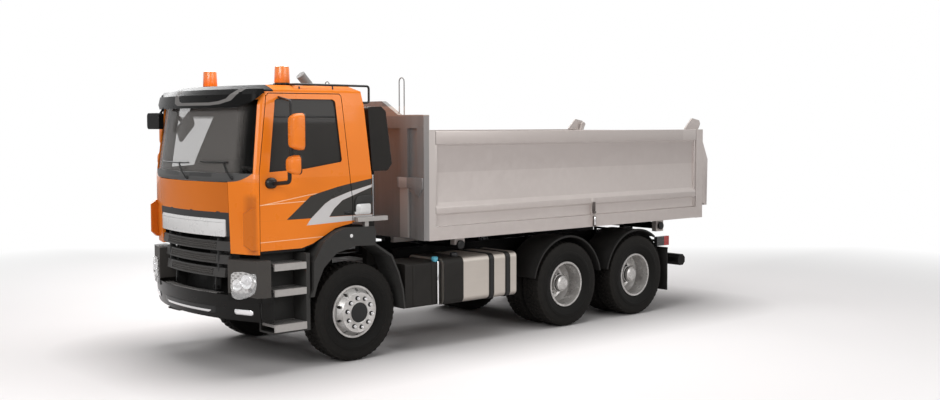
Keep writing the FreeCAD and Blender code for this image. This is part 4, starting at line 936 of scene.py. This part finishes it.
def repeat(name, tree, values, body, smooth=35.0):
    """Run a tree with its inputs set and keep the result as a plain mesh on a body."""
    holder = linked(name + "_rough", bpy.data.meshes.new(name + "_rough"))
    modifier = holder.modifiers.new("copies", "NODES")
    modifier.node_group = tree.tree
    for key, value in values.items():
        modifier[tree.keys[key]] = value
    return settle(name, made_plain(holder), body, smooth)


def pattern_item(name, bm):
    """Small shape to be copied, in millimetres about its own centre."""
    bmesh.ops.recalc_face_normals(bm, faces=bm.faces)
    for vertex in bm.verts:
        vertex.co = vertex.co / 1000.0
    thing = linked(name, mesh_of(name, bm))
    pattern_items.append(thing)
    return thing


def mirrored_item(item):
    """Left-hand twin of a small shape."""
    bm = bmesh.new()
    bm.from_mesh(item.data)
    for vertex in bm.verts:
        vertex.co = Vector((vertex.co.x, -vertex.co.y, vertex.co.z)) * 1000.0
    return pattern_item(item.name + "_mirrored", bm)


round_wheel = wheel_copies_tree()
in_rows = grid_copies_tree()
pattern_items = []


# Wheels

def wheels():
    """Name, solid, body, centre and outward side of each tyre."""
    out = []
    for name, side in SIDES:
        front = "tyre_front_" + name
        out.append((front, front, "wheel_front_" + name, 0.0, side * FRONT_WHEEL_Y, side))
        for axle, x in REAR_AXLES.items():
            end = "%s_%s" % (axle, name)
            for place, y, outward in (("outer", REAR_OUTER_Y, side), ("inner", REAR_INNER_Y, -side)):
                tyre = "tyre_%s_%s_%s" % (axle, place, name)
                out.append((tyre, "tyres_" + end, "wheel_" + end, x, side * y, outward))
    return out


def lug(name, base, low, top):
    """Tread block between the corners of its base and of its top."""
    return pattern_item(name, form(add_loft, [[(a, b, low) for a, b in base], top]))


def tyres():
    """Tyre carcasses with their tread blocks."""
    base = [(-24, 62), (8.0, 62), (22, 137), (-10, 137)]
    top = [(a * 0.88, max(b, 64), 561 if b < 100 else 552) for a, b in base]
    shoulder = lug("shoulder_lug", base, 541, top)
    shoulder_back = mirrored_item(shoulder)
    base = [(-17, -22), (15, -22), (17, 22), (-15, 22)]
    middle = lug("centre_lug", base, 546, [(a * 0.9, b * 0.9, 561.5) for a, b in base])
    rows = ((shoulder, 48, 0.0, 0.0, "a"), (shoulder_back, 48, 0.0, 0.065, "b"),
            (middle, 56, 0.026, 0.03, "c"), (middle, 56, -0.026, 0.09, "d"))
    wall = 160
    bead = 112.7
    half = [(bead, 287), (bead, 300.5), (118, 309), (132, 325), (wall - 6.0, 372),
            (wall - 3.0, 398), (wall, 402), (wall, 432), (wall - 4.0, 437),
            (wall - 6.0, 470), (wall - 5.0, 500), (wall - 9.0, 520), (141, 532),
            (137, 546), (126, 549), (60, 551)]
    profile = half + [(-offset, radius) for offset, radius in reversed(half)]
    for name, node, body, x, y, outward in wheels():
        carcass = form(add_ring, profile, (x, y, TYRE_RADIUS), outward, 96)
        things = [piece(name, carcass, rubber, body)]
        centre = at(x, y, TYRE_RADIUS)
        for item, count, offset, start, label in rows:
            place = Vector((centre.x, centre.y + offset, centre.z))
            values = {"Item": item, "Copies": count, "Start angle": start, "Centre": place,
                      "Finish": rubber}
            things.append(repeat(name + "_lugs_" + label, round_wheel, values, body, 20))
        dress(things, node)


def add_stud(bm, sides, foot, tip, length, ahead=0.0):
    """Short stud on the nut circle, along the wheel's axis."""
    place = Matrix.Translation((0, ahead, NUT_CIRCLE)) @ Matrix.Rotation(math.radians(-90), 4, "X")
    bmesh.ops.create_cone(bm, cap_ends=True, segments=sides, radius1=foot, radius2=tip,
                          depth=length, matrix=place)


def wheel_nuts():
    """Ten nuts on each wheel in dark seats, and the hubs' dark caps."""
    bm = form(add_stud, 6, 17, 16, 24)
    add_stud(bm, 12, 12, 9.0, 40, 8.0)
    nut = pattern_item("wheel_nut", bm)
    nut_back = mirrored_item(nut)
    washer = pattern_item("nut_seat", form(add_stud, 24, 27, 26, 5.0))
    flat_cap = [(0.0, 114), (0.4, 113), (0.4, 0.5), (-4.0, 0.5), (-4.0, 114)]
    flat_lip = [(-2.0, 126), (4.0, 125), (6.0, 120), (4.0, 115), (-2.0, 114)]
    deep_cap = [(0.0, 104), (22, 102), (30, 92), (30, 60), (38, 54), (40, 0.5),
                (0.0, 0.5)]
    deep_lip = [(0.0, 118), (8.0, 116), (10, 110), (8.0, 105), (0.0, 104)]
    front_y = FRONT_WHEEL_Y + 213
    spots = [("front", 0.0, front_y, front_y, flat_cap, flat_lip)]
    for axle, x in REAR_AXLES.items():
        spots.append((axle, x, REAR_HUB_Y + 12, REAR_HUB_Y + 174, deep_cap, deep_lip))
    for name, side in SIDES:
        shape = nut if side > 0 else nut_back
        for axle, x, seat_y, cap_y, cap, lip in spots:
            body = "wheel_%s_%s" % (axle, name)
            things = []
            for item, out, finish, label in ((shape, 13, chrome, "nuts"),
                                             (washer, 1.5, black_part, "nut_seats")):
                values = {"Item": item, "Copies": 10, "Start angle": 0.16,
                          "Centre": at(x, side * (seat_y + out), TYRE_RADIUS), "Finish": finish}
                things.append(repeat(body + "_" + label, round_wheel, values, body))
            centre = (x, side * cap_y, TYRE_RADIUS)
            for label, profile, finish in (("cap_", cap, black_part), ("ring_", lip, rim_paint)):
                things.append(piece("hub_" + label + body, form(add_ring, profile, centre, side),
                                    finish, body))
            dress(things)


# Cab and front

def door_mirrors():
    """Large and small mirror in rounded orange shells on one black arm."""
    where = ("door_*", "cab_orange", "mirror_*")
    for label, x0, x1, z0, z1 in (("large", 905, 1035, 2416, 2806), ("small", 958, 1066, 2160, 2366)):

        def ring(x, inset, radius=50.0, outer=1.0):
            outline = rounded_outline(1385 + inset, 1565 - inset * outer, z0 + inset, z1 - inset,
                                      radius)
            return [(x, y, z) for y, z in outline]
        shell = []
        for share in (0.0, 0.06, 0.3, 0.55, 0.75, 0.88, 0.96, 1.0):
            inset = 58 * (1.0 - math.sqrt(1.0 - share * share * 0.94)) if share else 4.0
            shell.append(ring(x0 + (x1 - x0) * share, inset, 54 - inset * 0.4, 0.8))
        pane = [ring(x0 + x, inset, 40) for x, inset in ((-5.0, 14), (-3.0, 11), (4.0, 11))]
        edge = [ring(x0 + x, inset) for x, inset in ((-9.0, 7.0), (-9.0, 1.0), (6.0, 0.0), (6.0, 7.0))]
        start = "mirror_" + label
        both(start + "_shell", [(add_loft, shell)], shell_paint, *where, smooth=60.0)
        both(start + "_glass", [(add_loft, pane)], mirror_glass, *where)
        both(start + "_frame", [(add_sleeve, edge)], black_part, *where)
    for label, levels, box in (
            ("foot", ((1147, 0.0), (1172, 2.0), (1192, 14), (1200, 34)), (1010, 1152, 2002, 2122, 58)),
            ("top_foot", ((1062, 0.0), (1082, 3.0), (1090, 12)), (896, 972, 2962, 3008, 20))):
        both("mirror_" + label, [(add_side_pad, levels, *box)], black_part, *where, smooth=50.0)
    upper = bends([(932, 1064, 2984), (1008, MIRROR_ARM_Y, 2935), (1008, MIRROR_ARM_Y, 2780)], 60)
    lower = bends([(1072, 1160, 2052), (1028, MIRROR_ARM_Y, 2080), (1028, MIRROR_ARM_Y, 2190)], 90)
    middle = [(1005, MIRROR_ARM_Y, z) for z in (2340, 2390, 2440)]
    for name, side in SIDES:
        for label, points, radius in (("upper", upper, 13), ("lower", lower, 22), ("middle", middle, 24)):
            points = [(x, side * y, z) for x, y, z in points]
            arm = tube("mirror_" + label + "_arm_" + name, points, radius, black_part, "door_" + name)
            dress([arm], "mirror_" + name)


def front_plate():
    """Blank bowed plate in the dark recess under the flap's painted part."""
    levels = [(1478, 1489, 718), (1482, 1490, 729), (1494, 1490, 735),
              (1631, 1490, 735), (1650, 1486, 735), (1663, 1483, 730),
              (1667, 1481, 720)]
    plate = piece("front_blank_plate", form(bowed, levels, PLATE_BOW, 14, 36), plate_silver,
                  "front_flap")
    levels = [(1629, 1491, 733), (1632, 1491, 733)]
    groove = piece("front_plate_groove", form(bowed, levels, PLATE_BOW, 3.0), chrome, "front_flap")
    dress([plate, groove])


def hexagon_cell():
    """One open cell of the grille mesh, walls only."""
    rings = []
    for radius in (15.6, 12.2):
        for x in (0.0, -9.0):
            turns = [math.radians(60 * index + 30) for index in range(6)]
            rings.append([(x, radius * math.cos(turn), radius * 0.86 * math.sin(turn))
                          for turn in turns])
    return pattern_item("hexagon_cell", form(add_band, rings))


def grille():
    """Three bowed slats with a window of open cells in each."""
    cell = hexagon_cell()
    slats = (("upper", 1320, 1424, 1476, 780, 560),
             ("middle", 1173, 1272, 1455, 720, 520),
             ("lower", 1028, 1130, 1461, 672, 480))
    edge = 17
    step = 27
    things = []
    for label, low, high, nose, half, window in slats:
        start = "slat_" + label
        for part, z0, z1, lean in (("_sill", low, low + edge, 0.0), ("_head", high - edge, high, 10)):
            bm = form(bowed, [(z0, nose - lean, half), (z1, nose - lean - 4.0, half)], SLAT_BOW, 36)
            things.append(piece(start + part, bm, grille_plastic, "cab", 4.0))
        levels = [(low + edge - 2.0, nose - 3.0, half), (high - edge + 2.0, nose - 12, half)]
        for part, y_from, y_to in (("_end_left", window / half, 1.0),
                                   ("_end_right", -1.0, -window / half)):
            bm = form(bowed, levels, SLAT_BOW, 32, 10, y_from, y_to)
            things.append(piece(start + part, bm, grille_plastic, "cab"))
        # Painted shade: a black sheet behind each window of open cells stands in for the dark space
        # behind the grille.
        levels = [(low + 16, nose - 30, window + 10), (high - 16, nose - 32, window + 10)]
        things.append(piece(start + "_backing", form(bowed, levels, SLAT_BOW, 4.0), black_part, "cab"))
        first = Vector(((nose - 8.0 + FRONT_AXLE) / 1000, -window / 1000 + 0.010,
                        ((low + high) / 2 - 22) / 1000))
        values = {"Item": cell, "Columns": int(2 * window / step), "Rows": 3,
                  "Step along": (0.0, step / 1000, 0.0), "Step up": (0.0, 0.0, 0.0215),
                  "Start": first, "Bow": SLAT_BOW * 1000, "Finish": mesh_plastic}
        things.append(repeat(start + "_cells", in_rows, values, "cab"))
    for y in (-560, 560):
        bm = form(add_box, 1330, 1398, y - 15, y + 15, 1024, 1450)
        things.append(piece("slat_upright_%d" % y, bm, trim, "cab", 5.0))
    dress(things, "lower_grille")


def wipers():
    """Two wipers that rise from the cowl, their blades lying near level."""
    def over_glass(y, z, stand):
        return (1490 - (z - 2165) * 0.15 - 1.8e-4 * y * y + stand, y, z)
    for label, foot_y, foot_z, elbow_y, elbow_z, blade_end, blade_start in (
            ("right", 79, 2102, -108, 2262, -692, 90),
            ("left", 843, 2116, 721, 2280, 323, 770)):
        arm = [over_glass(foot_y, foot_z, 18), over_glass(foot_y, foot_z + 10, 30),
               over_glass((foot_y + elbow_y) / 2, (foot_z + elbow_z) / 2, 36),
               over_glass(elbow_y, elbow_z, 26)]
        blade = []
        for index in range(7):
            y = blade_end + (blade_start - blade_end) * index / 6
            blade.append(over_glass(y, elbow_z + (6.0 if index in (0, 6) else 0.0), 12))
        things = [tube("wiper_arm_" + label, arm, 9.0, black_part, "cab"),
                  tube("wiper_blade_" + label, blade, 8.0, black_part, "cab")]
        bm = bmesh.new()
        place = Matrix.Translation(over_glass(foot_y, foot_z, 8.0))
        bmesh.ops.create_uvsphere(bm, u_segments=20, v_segments=12, radius=1.0,
                                  matrix=place @ Matrix.Diagonal((14, 30, 26, 1)))
        things.append(piece("wiper_pivot_" + label, bm, black_part, "cab"))
        dress(things)


def headlamps():
    """Reflector bowls under a clear domed cover on each headlamp."""
    outline = [(860, 903), (866, 945), (883, 985), (915, 1020), (950, 1050),
               (1005, 1076), (1060, 1093), (1120, 1106), (1168, 1108),
               (1184, 1085), (1188, 1000), (1180, 950), (1158, 897),
               (1110, 865), (1056, 845), (1010, 828), (968, 818), (920, 820),
               (880, 836), (864, 868)]
    middle_y = sum(y for y, z in outline) / len(outline)
    middle_z = sum(z for y, z in outline) / len(outline)
    bowls = (("dipped", 1075, 1015, 70, lamp_bowl), ("main", 950, 975, 58, lamp_bowl),
             ("turn", 1120, 935, 20, dark_steel))
    for name, side in SIDES:

        def on_housing(y, z, stand):
            return (1399.3 - (y - 850) * 0.3206 + stand, side * y, z)
        rings = []
        for share, stand in ((1.0, 1.0), (1.0, 16), (0.97, 21), (0.90, 26), (0.70, 31),
                             (0.3, 34)):
            rings.append([on_housing(middle_y + (y - middle_y) * share,
                                     middle_z + (z - middle_z) * share, stand) for y, z in outline])
        things = [piece("headlamp_cover_" + name, form(add_loft, rings), clear_lens, "chassis",
                        smooth=60)]
        for label, y, z, radius, finish in bowls:
            profile = [(26, radius), (19, radius * 0.8), (16, radius * 0.45), (17, radius * 0.3),
                       (24, radius * 0.24), (24, 1.0), (15.8, 1.0), (15.8, radius * 1.02),
                       (24, radius * 1.06)]
            rings = [[on_housing(y + r * math.cos(turn), z + r * math.sin(turn), o)
                      for o, r in profile] for turn in turns_of(36)]
            things.append(piece("headlamp_bowl_" + label + "_" + name, form(add_sleeve, rings), finish,
                                "chassis"))
        dress(things)


def bumper_details():
    """Step plate in the bumper's top, bright strip in its slot, fog lamps and lower wings."""
    bm = form(bowed, [(856, 1506, 600), (862, 1504, 600)], BUMPER_BOW, 88)
    dress([piece("bumper_step_plate", bm, step_metal, "chassis", 2.0)])
    bm = form(bowed, [(636, 1500, 560), (650, 1501.5, 590), (700, 1510, 600),
                      (712, 1511, 590)], BUMPER_BOW, 6.0)
    slot = piece("bumper_slot", bm, black_part, "chassis", 2.0)
    bm = form(bowed, [(640, 1507, 470), (668, 1512, 520)], BUMPER_BOW, 8.0)
    strip = piece("bumper_bright_strip", bm, chrome, "chassis", 3.0)
    dress([slot, strip])
    outline = rounded_outline(884, 1122, 650, 712, 28)
    middle_y, middle_z = 1003, 681
    wing = [(1094, 566), (1150, 560), (1236, 592), (1240, 846), (1094, 846)]
    for name, side in SIDES:
        rings = []
        for share, stand in ((1.0, -4.0), (1.0, 5.0), (0.93, 10), (0.6, 13)):
            ring = []
            for y, z in outline:
                across = middle_y + (y - middle_y) * share - 16
                up = middle_z + (z - middle_z) * share
                nose = 1502 + (up - 652) * 0.14
                ring.append((nose - BUMPER_BOW * across * across + stand, side * across, up))
            rings.append(ring)
        thing = piece("fog_lamp_" + name, form(add_loft, rings), lamp_bowl, "chassis", smooth=50)
        dress([thing])
    both("bumper_wing", [(add_prism, wing, "y", 1186, 1208)], bumper_finish, "chassis", "bumper_dark",
         bevel=7.0, segments=3)


def cab_glass_mirror():
    """Mirror on the windscreen's inside, and a drawn blind inside each door's window."""
    tilt = Matrix.Rotation(math.radians(32), 4, "X")
    outline = rounded_outline(-205, 205, -98, 98, 48)
    rings = []
    for depth, share in ((-12, 0.86), (-4.0, 1.0), (10, 1.0), (18, 0.9)):
        turned = [tilt @ Vector((depth, y * share, z * share)) for y, z in outline]
        rings.append([(1318 + place.x, -289 + place.y, 2664 + place.z) for place in turned])
    things = [piece("inner_mirror", form(add_loft, rings), black_part, "cab", smooth=50)]
    things.append(tube("inner_mirror_arm", [(1322, -330, 2700), (1330, -380, 2750),
                                            (1336, -440, 2780)], 22, black_part, "cab"))
    edge = [(70, 2150), (806, 2150), (798, 2192), (756, 2300), (690, 2450),
            (618, 2610), (538, 2783), (880, 2783), (850, 2900), (100, 2900)]
    blind = [[(x, 1150 - depth - (z - 2110) * 0.0582, z) for x, z in edge] for depth in (46, 50)]
    both("window_blind", [(add_loft, blind)], interior, "door_*", "interior")
    both("window_bar", [(add_box, 215, 1060, 1100, 1110, 2766, 2777)], black_part, "door_*",
         "interior", bevel=2.0)
    dress(things)


def roof_lights():
    """Amber domes with black feet, and the thin bar that runs round the roof behind them."""
    dome = [(84, 3144), (87, 3150), (80, 3318), (77, 3326), (40, 3336),
            (8.0, 3339)]
    foot = [(60, 3052), (72, 3070), (80, 3122), (97, 3130), (97, 3140),
            (88, 3146)]
    for name, side in SIDES:
        things = []
        for label, profile, finish in (("dome_", dome, amber), ("foot_", foot, black_part)):
            bm = form(add_column, profile, 714, side * 810)
            things.append(piece("beacon_" + label + name, bm, finish, "cab"))
        dress(things, "roof_beacons")
    near = [(-140, 1040, 2935), (-300, 1040, 2935), (-300, 1040, 3124),
            (690, 1040, 3126)]
    far = [(x, -y, z) for x, y, z in reversed(near)]
    things = [tube("roof_bar", bends(near + far, 70), 13, black_part, "cab")]
    for name, side in SIDES:
        bm = bmesh.new()
        for x, top in ((200, 3114), (640, 3104)):
            add_rod(bm, (x, side * 1040, 3040), (x, side * 1040, top), 9.0)
        things.append(piece("roof_bar_feet_" + name, bm, black_part, "cab", 2.0))
    dress(things, "roof_rails")


# Chassis and sides

def rounded_band(name, x0, x1, stand, finish):
    """Band round the tank's rounded section, standing off it a little."""
    corner = 70
    outline = list(rounded_corners(560, 1240, 513, 1073, corner))
    rings = [[(x, a + reach * c, b + reach * s) for a, b, c, s in outline]
             for x in (x0, x1) for reach in (corner + stand, corner - 2.0)]
    return piece(name, form(add_band, rings), finish, "chassis", 1.5, 1)


def tank_details():
    """Straps, dark end and filler of the tank, ribs and blue-capped rod of the box ahead of it."""
    things = []
    for index, (x0, x1) in enumerate(((-2071, -1985), (-2347, -2262))):
        things.append(rounded_band("tank_strap_%d" % index, x0, x1, 5.0, box_plastic))
        things.append(rounded_band("tank_strap_edge_%d" % index, x0 + 18, x1 - 18, 8.0, black_part))
    things.append(rounded_band("tank_dark_end", -1563, -1250, 4.0, box_plastic))
    bm = form(add_column, [(46, 1066), (50, 1078), (50, 1108), (44, 1120),
                           (6.0, 1124)], -1500, 1130, 32)
    things.append(piece("tank_filler_cap", bm, black_part, "chassis"))
    dress(things)
    bm = form(add_rod, (-1180, 1212, 528), (-1180, 1212, 1046), 12, 20)
    things = [piece("box_bright_rod", bm, chrome, "chassis", 2.0)]
    bm = form(add_column, [(30, 1038), (36, 1050), (40, 1070), (40, 1090),
                           (30, 1100), (4.0, 1104)], -1170, 1165, 28)
    things.append(piece("box_blue_cap", bm, cap_blue, "chassis"))
    for index, x in enumerate((-820, -1110)):
        bm = form(add_box, x - 16, x + 16, 1196, 1205, 540, 1030)
        things.append(piece("box_rib_%d" % index, bm, box_plastic, "chassis", 4.0))
    dress(things)


def side_details():
    """Door handles, the panel and rim behind each door, guard markers and bright pipes."""
    hood = [(-6.0, 1700), (-6.0, 1790), (-14, 1830), (-34, 1862), (-70, 1878), (-150, 1882),
            (-236, 1884), (-244, 1876), (-244, 1800), (-232, 1792), (-60, 1792), (-30, 1782),
            (-18, 1756), (-18, 1700)]
    both("handle_recess", [(add_box, 34, 128, 1148, 1153, 1668, 1716)], black_part, "door_*",
         "cab_orange", bevel=2.0)
    levels = ((1149, 0.0), (1155, 0.0), (1158, 4.0))
    both("rear_side_panel", [(add_side_pad, levels, -234, -12, 1664, 1786, 22, 0.0)], plate_silver,
         "cab", "cab_orange")
    both("rear_side_rim", [(add_prism, hood, "y", 1149, 1172)], guard, "cab", "cab_trim_dark",
         bevel=6.0, segments=3)
    both("guard_marker", [(add_rod, (101, 1239, 1440), (101, 1247, 1440), 20, 24)], plate_silver,
         "chassis", "guard_plastic", bevel=3.0)
    grip = [(124, 1152, 1690), (110, 1172, 1692), (56, 1172, 1696), (40, 1152, 1697)]
    pipe = [(-290, 1120, 1640), (-288, 1120, 1850), (-286, 1120, 2110)]
    for name, side in SIDES:
        for label, points, radius, finish, body, slot in (
                ("handle_grip_", grip, 9.0, black_part, "door_" + name, "cab_orange"),
                ("bright_pipe_", pipe, 12, chrome, "chassis", "box_black")):
            points = [(x, side * y, z) for x, y, z in points]
            dress([tube(label + name, points, radius, finish, body)])


def add_arc(bm, x, y0, y1, reach, depth, start, end, steps=28):
    """Part of a thick arch over a rear wheel, between two angles."""
    outline = []
    turns = [math.radians(start + (end - start) * step / steps) for step in range(steps + 1)]
    for radius, order in ((reach, 1), (reach - depth, -1)):
        for turn in turns[::order]:
            outline.append((x + radius * math.cos(turn), TYRE_RADIUS + radius * math.sin(turn)))
    add_prism(bm, outline, "y", y0, y1)


def rear_guards():
    """Arched guards over the rear wheels with a rolled edge, their stays and the flaps."""
    where = ("chassis", "guard_plastic", "rear_mudguards")
    for axle, x in REAR_AXLES.items():
        behind = 168.0 if axle == "middle" else 126.0
        arcs = [("guard", 740, 1240, 646, 10, 12, behind), ("edge", 1226, 1255, 652, 26, 12, behind)]
        if axle == "rear":
            arcs.append(("tail", 740, 1144, 646, 10, 124, 168))
        for label, *arc in arcs:
            both("rear_%s_%s" % (label, axle), [(add_arc, x, *arc)], rear_guard_plastic, *where,
                 bevel=3.0, smooth=30.0)
        stay = [(add_rod, (x, 462, 1184), (x, 1200, 1184), 15),
                (add_box, x - 20, x + 20, 441, 470, 900, 1202)]
        both("rear_guard_stay_" + axle, stay, frame_paint, *where, bevel=3.0)
    both("rear_flap", [(add_box, -5490, -5476, 780, 1240, 280, 900)], rear_guard_plastic, *where,
         bevel=4.0)
    both("rear_flap_hanger", [(add_rod, (-5482, 441, 890), (-5482, 1240, 890), 14)], frame_paint,
         *where, bevel=2.0)


# Tipping body

def body_details():
    """Latches on the side gates, caps on the tipping tube and the headboard's gusset plates."""
    case = [(-3872, 1310), (-3828, 1310), (-3822, 1340), (-3822, 1452), (-3878, 1452), (-3878, 1340)]
    gusset = [(780, 2054), (1262, 2054), (1262, 1935), (1181, 1826), (1150, 1850), (1086, 1926),
              (948, 1930), (780, 1930)]
    cap = [(0.0, 56), (10, 56), (16, 46), (16, 0.5), (0.0, 0.5)]
    both("latch_case", [(add_prism, case, "y", 1290, 1312)], dark_steel, "bed", "body_silver",
         bevel=6.0, segments=3)
    both("latch_spring", [(add_rod, (-3850, 1310, 1330), (-3850, 1310, 1440), 13, 20)], chrome,
         "bed", "body_silver", bevel=4.0)
    hook = [(add_box, -3872, -3828, 1290, 1304, 1480, 1640),
            (add_rod, (-3876, 1300, 1500), (-3824, 1300, 1500), 14, 20)]
    both("latch_hook", hook, dark_steel, "gate_*", "body_silver", bevel=5.0)
    both("headboard_gusset", [(add_prism, gusset, "x", -920, -902)], bare_steel, "bed",
         "headboard_steel", bevel=3.0)
    for name, side in SIDES:
        for x in (-5500, -1640):
            bm = form(add_ring, cap, (x, side * 1100, TIP_TUBE_Z), side, 40)
            thing = piece("tube_cap_%s_%d" % (name, abs(x)), bm, black_part, "chassis")
            dress([thing])


def gates():
    """Side gates with a proud top rail and lower rib, and the tailgate's outer edges."""
    outer = 1275
    inner = 1215
    section = [(inner, 1473), (outer - 24, 1473), (outer - 27, 1500), (outer - 27, 1600),
               (outer - 2.0, 1622), (outer, 1628), (outer, 1694), (outer - 4.0, 1702),
               (outer - 30, 1752), (outer - 40, 2112), (outer - 26, 2430), (outer - 4.0, 2448),
               (outer, 2454), (outer, 2600), (outer - 5.0, 2605), (inner, 2605)]
    low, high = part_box("gate_left")
    rear = low[0] * 1000 - FRONT_AXLE + 60
    front = high[0] * 1000 - FRONT_AXLE - 60
    where = ("gate_*", "body_silver", "gate_*")
    both("gate_leaf", [(add_prism, section, "x", rear, front)], silver_paint, *where, bevel=2.0,
         smooth=20.0)
    posts = [(add_box, x - 14, x + 14, inner + 10, outer - 12, 1474, 2600)
             for x in (rear + 14, front - 14)]
    both("gate_end_posts", posts, silver_paint, *where, bevel=2.0)
    pin = (add_rod, (rear - 60, 1245, 2570), (front + 60, 1245, 2570), 14, 24)
    both("gate_pin", [pin], dark_steel, *where, bevel=2.0)
    both("gate_latch_plate", [(add_box, -3878, -3822, 1240, 1279, 1477, 1691)], silver_paint, *where,
         bevel=4.0)
    body_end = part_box("tailgate")[0][0] * 1000 - FRONT_AXLE
    flange = [(126, 2432), (2.0, 2159), (16, 1480), (78, 1480), (84, 1500), (126, 1520)]
    flange = [(body_end + x, z) for x, z in flange]
    both("tailgate_edge", [(add_prism, flange, "y", 1141, 1268)], silver_paint, "tailgate",
         "body_silver", bevel=5.0)


for build in (roof_lights, rear_guards, gates, tyres, wheel_nuts, door_mirrors, front_plate, grille,
              wipers, headlamps, bumper_details, tank_details, side_details, body_details,
              cab_glass_mirror):
    build()

for item in pattern_items:
    bpy.data.objects.remove(item)


# Stage: floor, light and camera

def floor():
    corners = [(x, y, 0.0) for x, y in ((-40, -40), (40, -40), (40, 40), (-40, 40))]
    bm = bmesh.new()
    bm.faces.new([bm.verts.new(corner) for corner in corners])
    mesh = mesh_of("studio_floor", bm)
    finish = Finish("studio_floor")
    cloud = finish.noise(0.4, 1.0)
    glow = finish.node("ShaderNodeEmission", None, {"Color": rgb(1, 1, 1), "Strength": 1.0})
    path = finish.node("ShaderNodeLightPath")
    x, y, z = finish.axes()
    along = (x + FRONT_AXLE) / 1000
    across = y / 1000
    # Painted shadow: the floor's own colour darkens to about a quarter within some 3 m of the truck's
    # footprint.
    aside = (along.magnitude() - 3.6).math("MAXIMUM", 0.0)
    apart = (across.magnitude() - 1.0).math("MAXIMUM", 0.0)
    clear = (aside * aside + apart * apart).math("SQRT").above(0.0, 3.0)
    tone = finish.clouds(cloud, (0.86, 0.84, 0.84), (0.88, 0.86, 0.86))
    tone = finish.mix(clear, rgb(0.22, 0.205, 0.20), tone)
    surface = finish.node("ShaderNodeBsdfPrincipled", None,
                          {"Base Color": tone, "Roughness": 0.9, "Specular IOR Level": 0.1})
    away = (((along * along + across * across).math("SQRT") - 6.0) / 7.0).clipped()
    behind = ((along * -0.661 - across * 0.750 - 4.5) / 5.0).clipped()
    share = Wire(finish, path.outputs["Is Camera Ray"]) * away.math("MAXIMUM", behind)
    both = finish.node("ShaderNodeMixShader", None, [share, surface.outputs[0], glow.outputs[0]])
    finish.tree.links.new(both.outputs[0], finish.output.inputs["Surface"])
    mesh.materials.append(finish.material)
    linked("studio_floor", mesh)


def world():
    """Dim light on the truck, with white where the camera, a glass or a gloss looks past it."""
    sky = bpy.data.worlds.new("studio")
    sky.use_nodes = True
    tree = sky.node_tree
    tree.nodes.clear()
    lit, seen = [add_node(tree, "ShaderNodeBackground", None, {"Color": colour, "Strength": strength})
                 for colour, strength in ((rgb(1.0, 0.99, 0.98), 0.22), (rgb(1, 1, 1), 1.0))]
    rays = add_node(tree, "ShaderNodeLightPath").outputs
    share = rays["Is Camera Ray"]
    for ray in ("Is Transmission Ray", "Is Glossy Ray"):
        share = add_node(tree, "ShaderNodeMath", {"operation": "MAXIMUM"}, [share, rays[ray]]).outputs[0]
    mix = add_node(tree, "ShaderNodeMixShader", None, [share, lit.outputs[0], seen.outputs[0]])
    add_node(tree, "ShaderNodeOutputWorld", None, [mix.outputs[0]])
    bpy.context.scene.world = sky


def lamp(name, place, target, size, power):
    light = bpy.data.lights.new(name, "AREA")
    light.shape = "RECTANGLE"
    light.size, light.size_y = size
    light.energy = power
    thing = linked(name, light)
    thing.location = place
    thing.rotation_euler = (Vector(target) - Vector(place)).to_track_quat("-Z", "Y").to_euler()


def camera():
    lens = bpy.data.cameras.new("camera")
    lens.sensor_width = 36
    lens.lens = 43.456
    lens.shift_y = -0.0094
    lens.clip_end = 200
    thing = linked("camera", lens)
    thing.location = at(7480.1, 11622.9, 2677.7)
    yaw, pitch, roll = 3.9899, -0.0583, -0.0022
    ahead = Vector((math.cos(yaw) * math.cos(pitch), math.sin(yaw) * math.cos(pitch), math.sin(pitch)))
    right = ahead.cross(Vector((0, 0, 1))).normalized()
    up = right.cross(ahead)
    level_right = right * math.cos(roll) + up * math.sin(roll)
    level_up = up * math.cos(roll) - right * math.sin(roll)
    turn = Matrix((level_right, level_up, -ahead)).transposed()
    thing.rotation_euler = turn.to_euler()
    bpy.context.scene.camera = thing


floor()
world()
lamp("overhead", (0.5, 0.5, 9.0), (0.0, 0.0, 1.0), (9.0, 6.0), 740)
lamp("behind", (-2.0, -9.0, 6.5), (0.0, 0.0, 0.5), (10, 3.0), 520)
lamp("front_left", (11, 5.0, 6.0), (2.0, 0.5, 1.5), (6.0, 4.0), 500)
lamp("side", (-1.0, 12, 6.0), (-1.0, 0.0, 1.5), (10, 4.0), 420)
camera()
bpy.context.scene.view_settings.view_transform = "Standard"
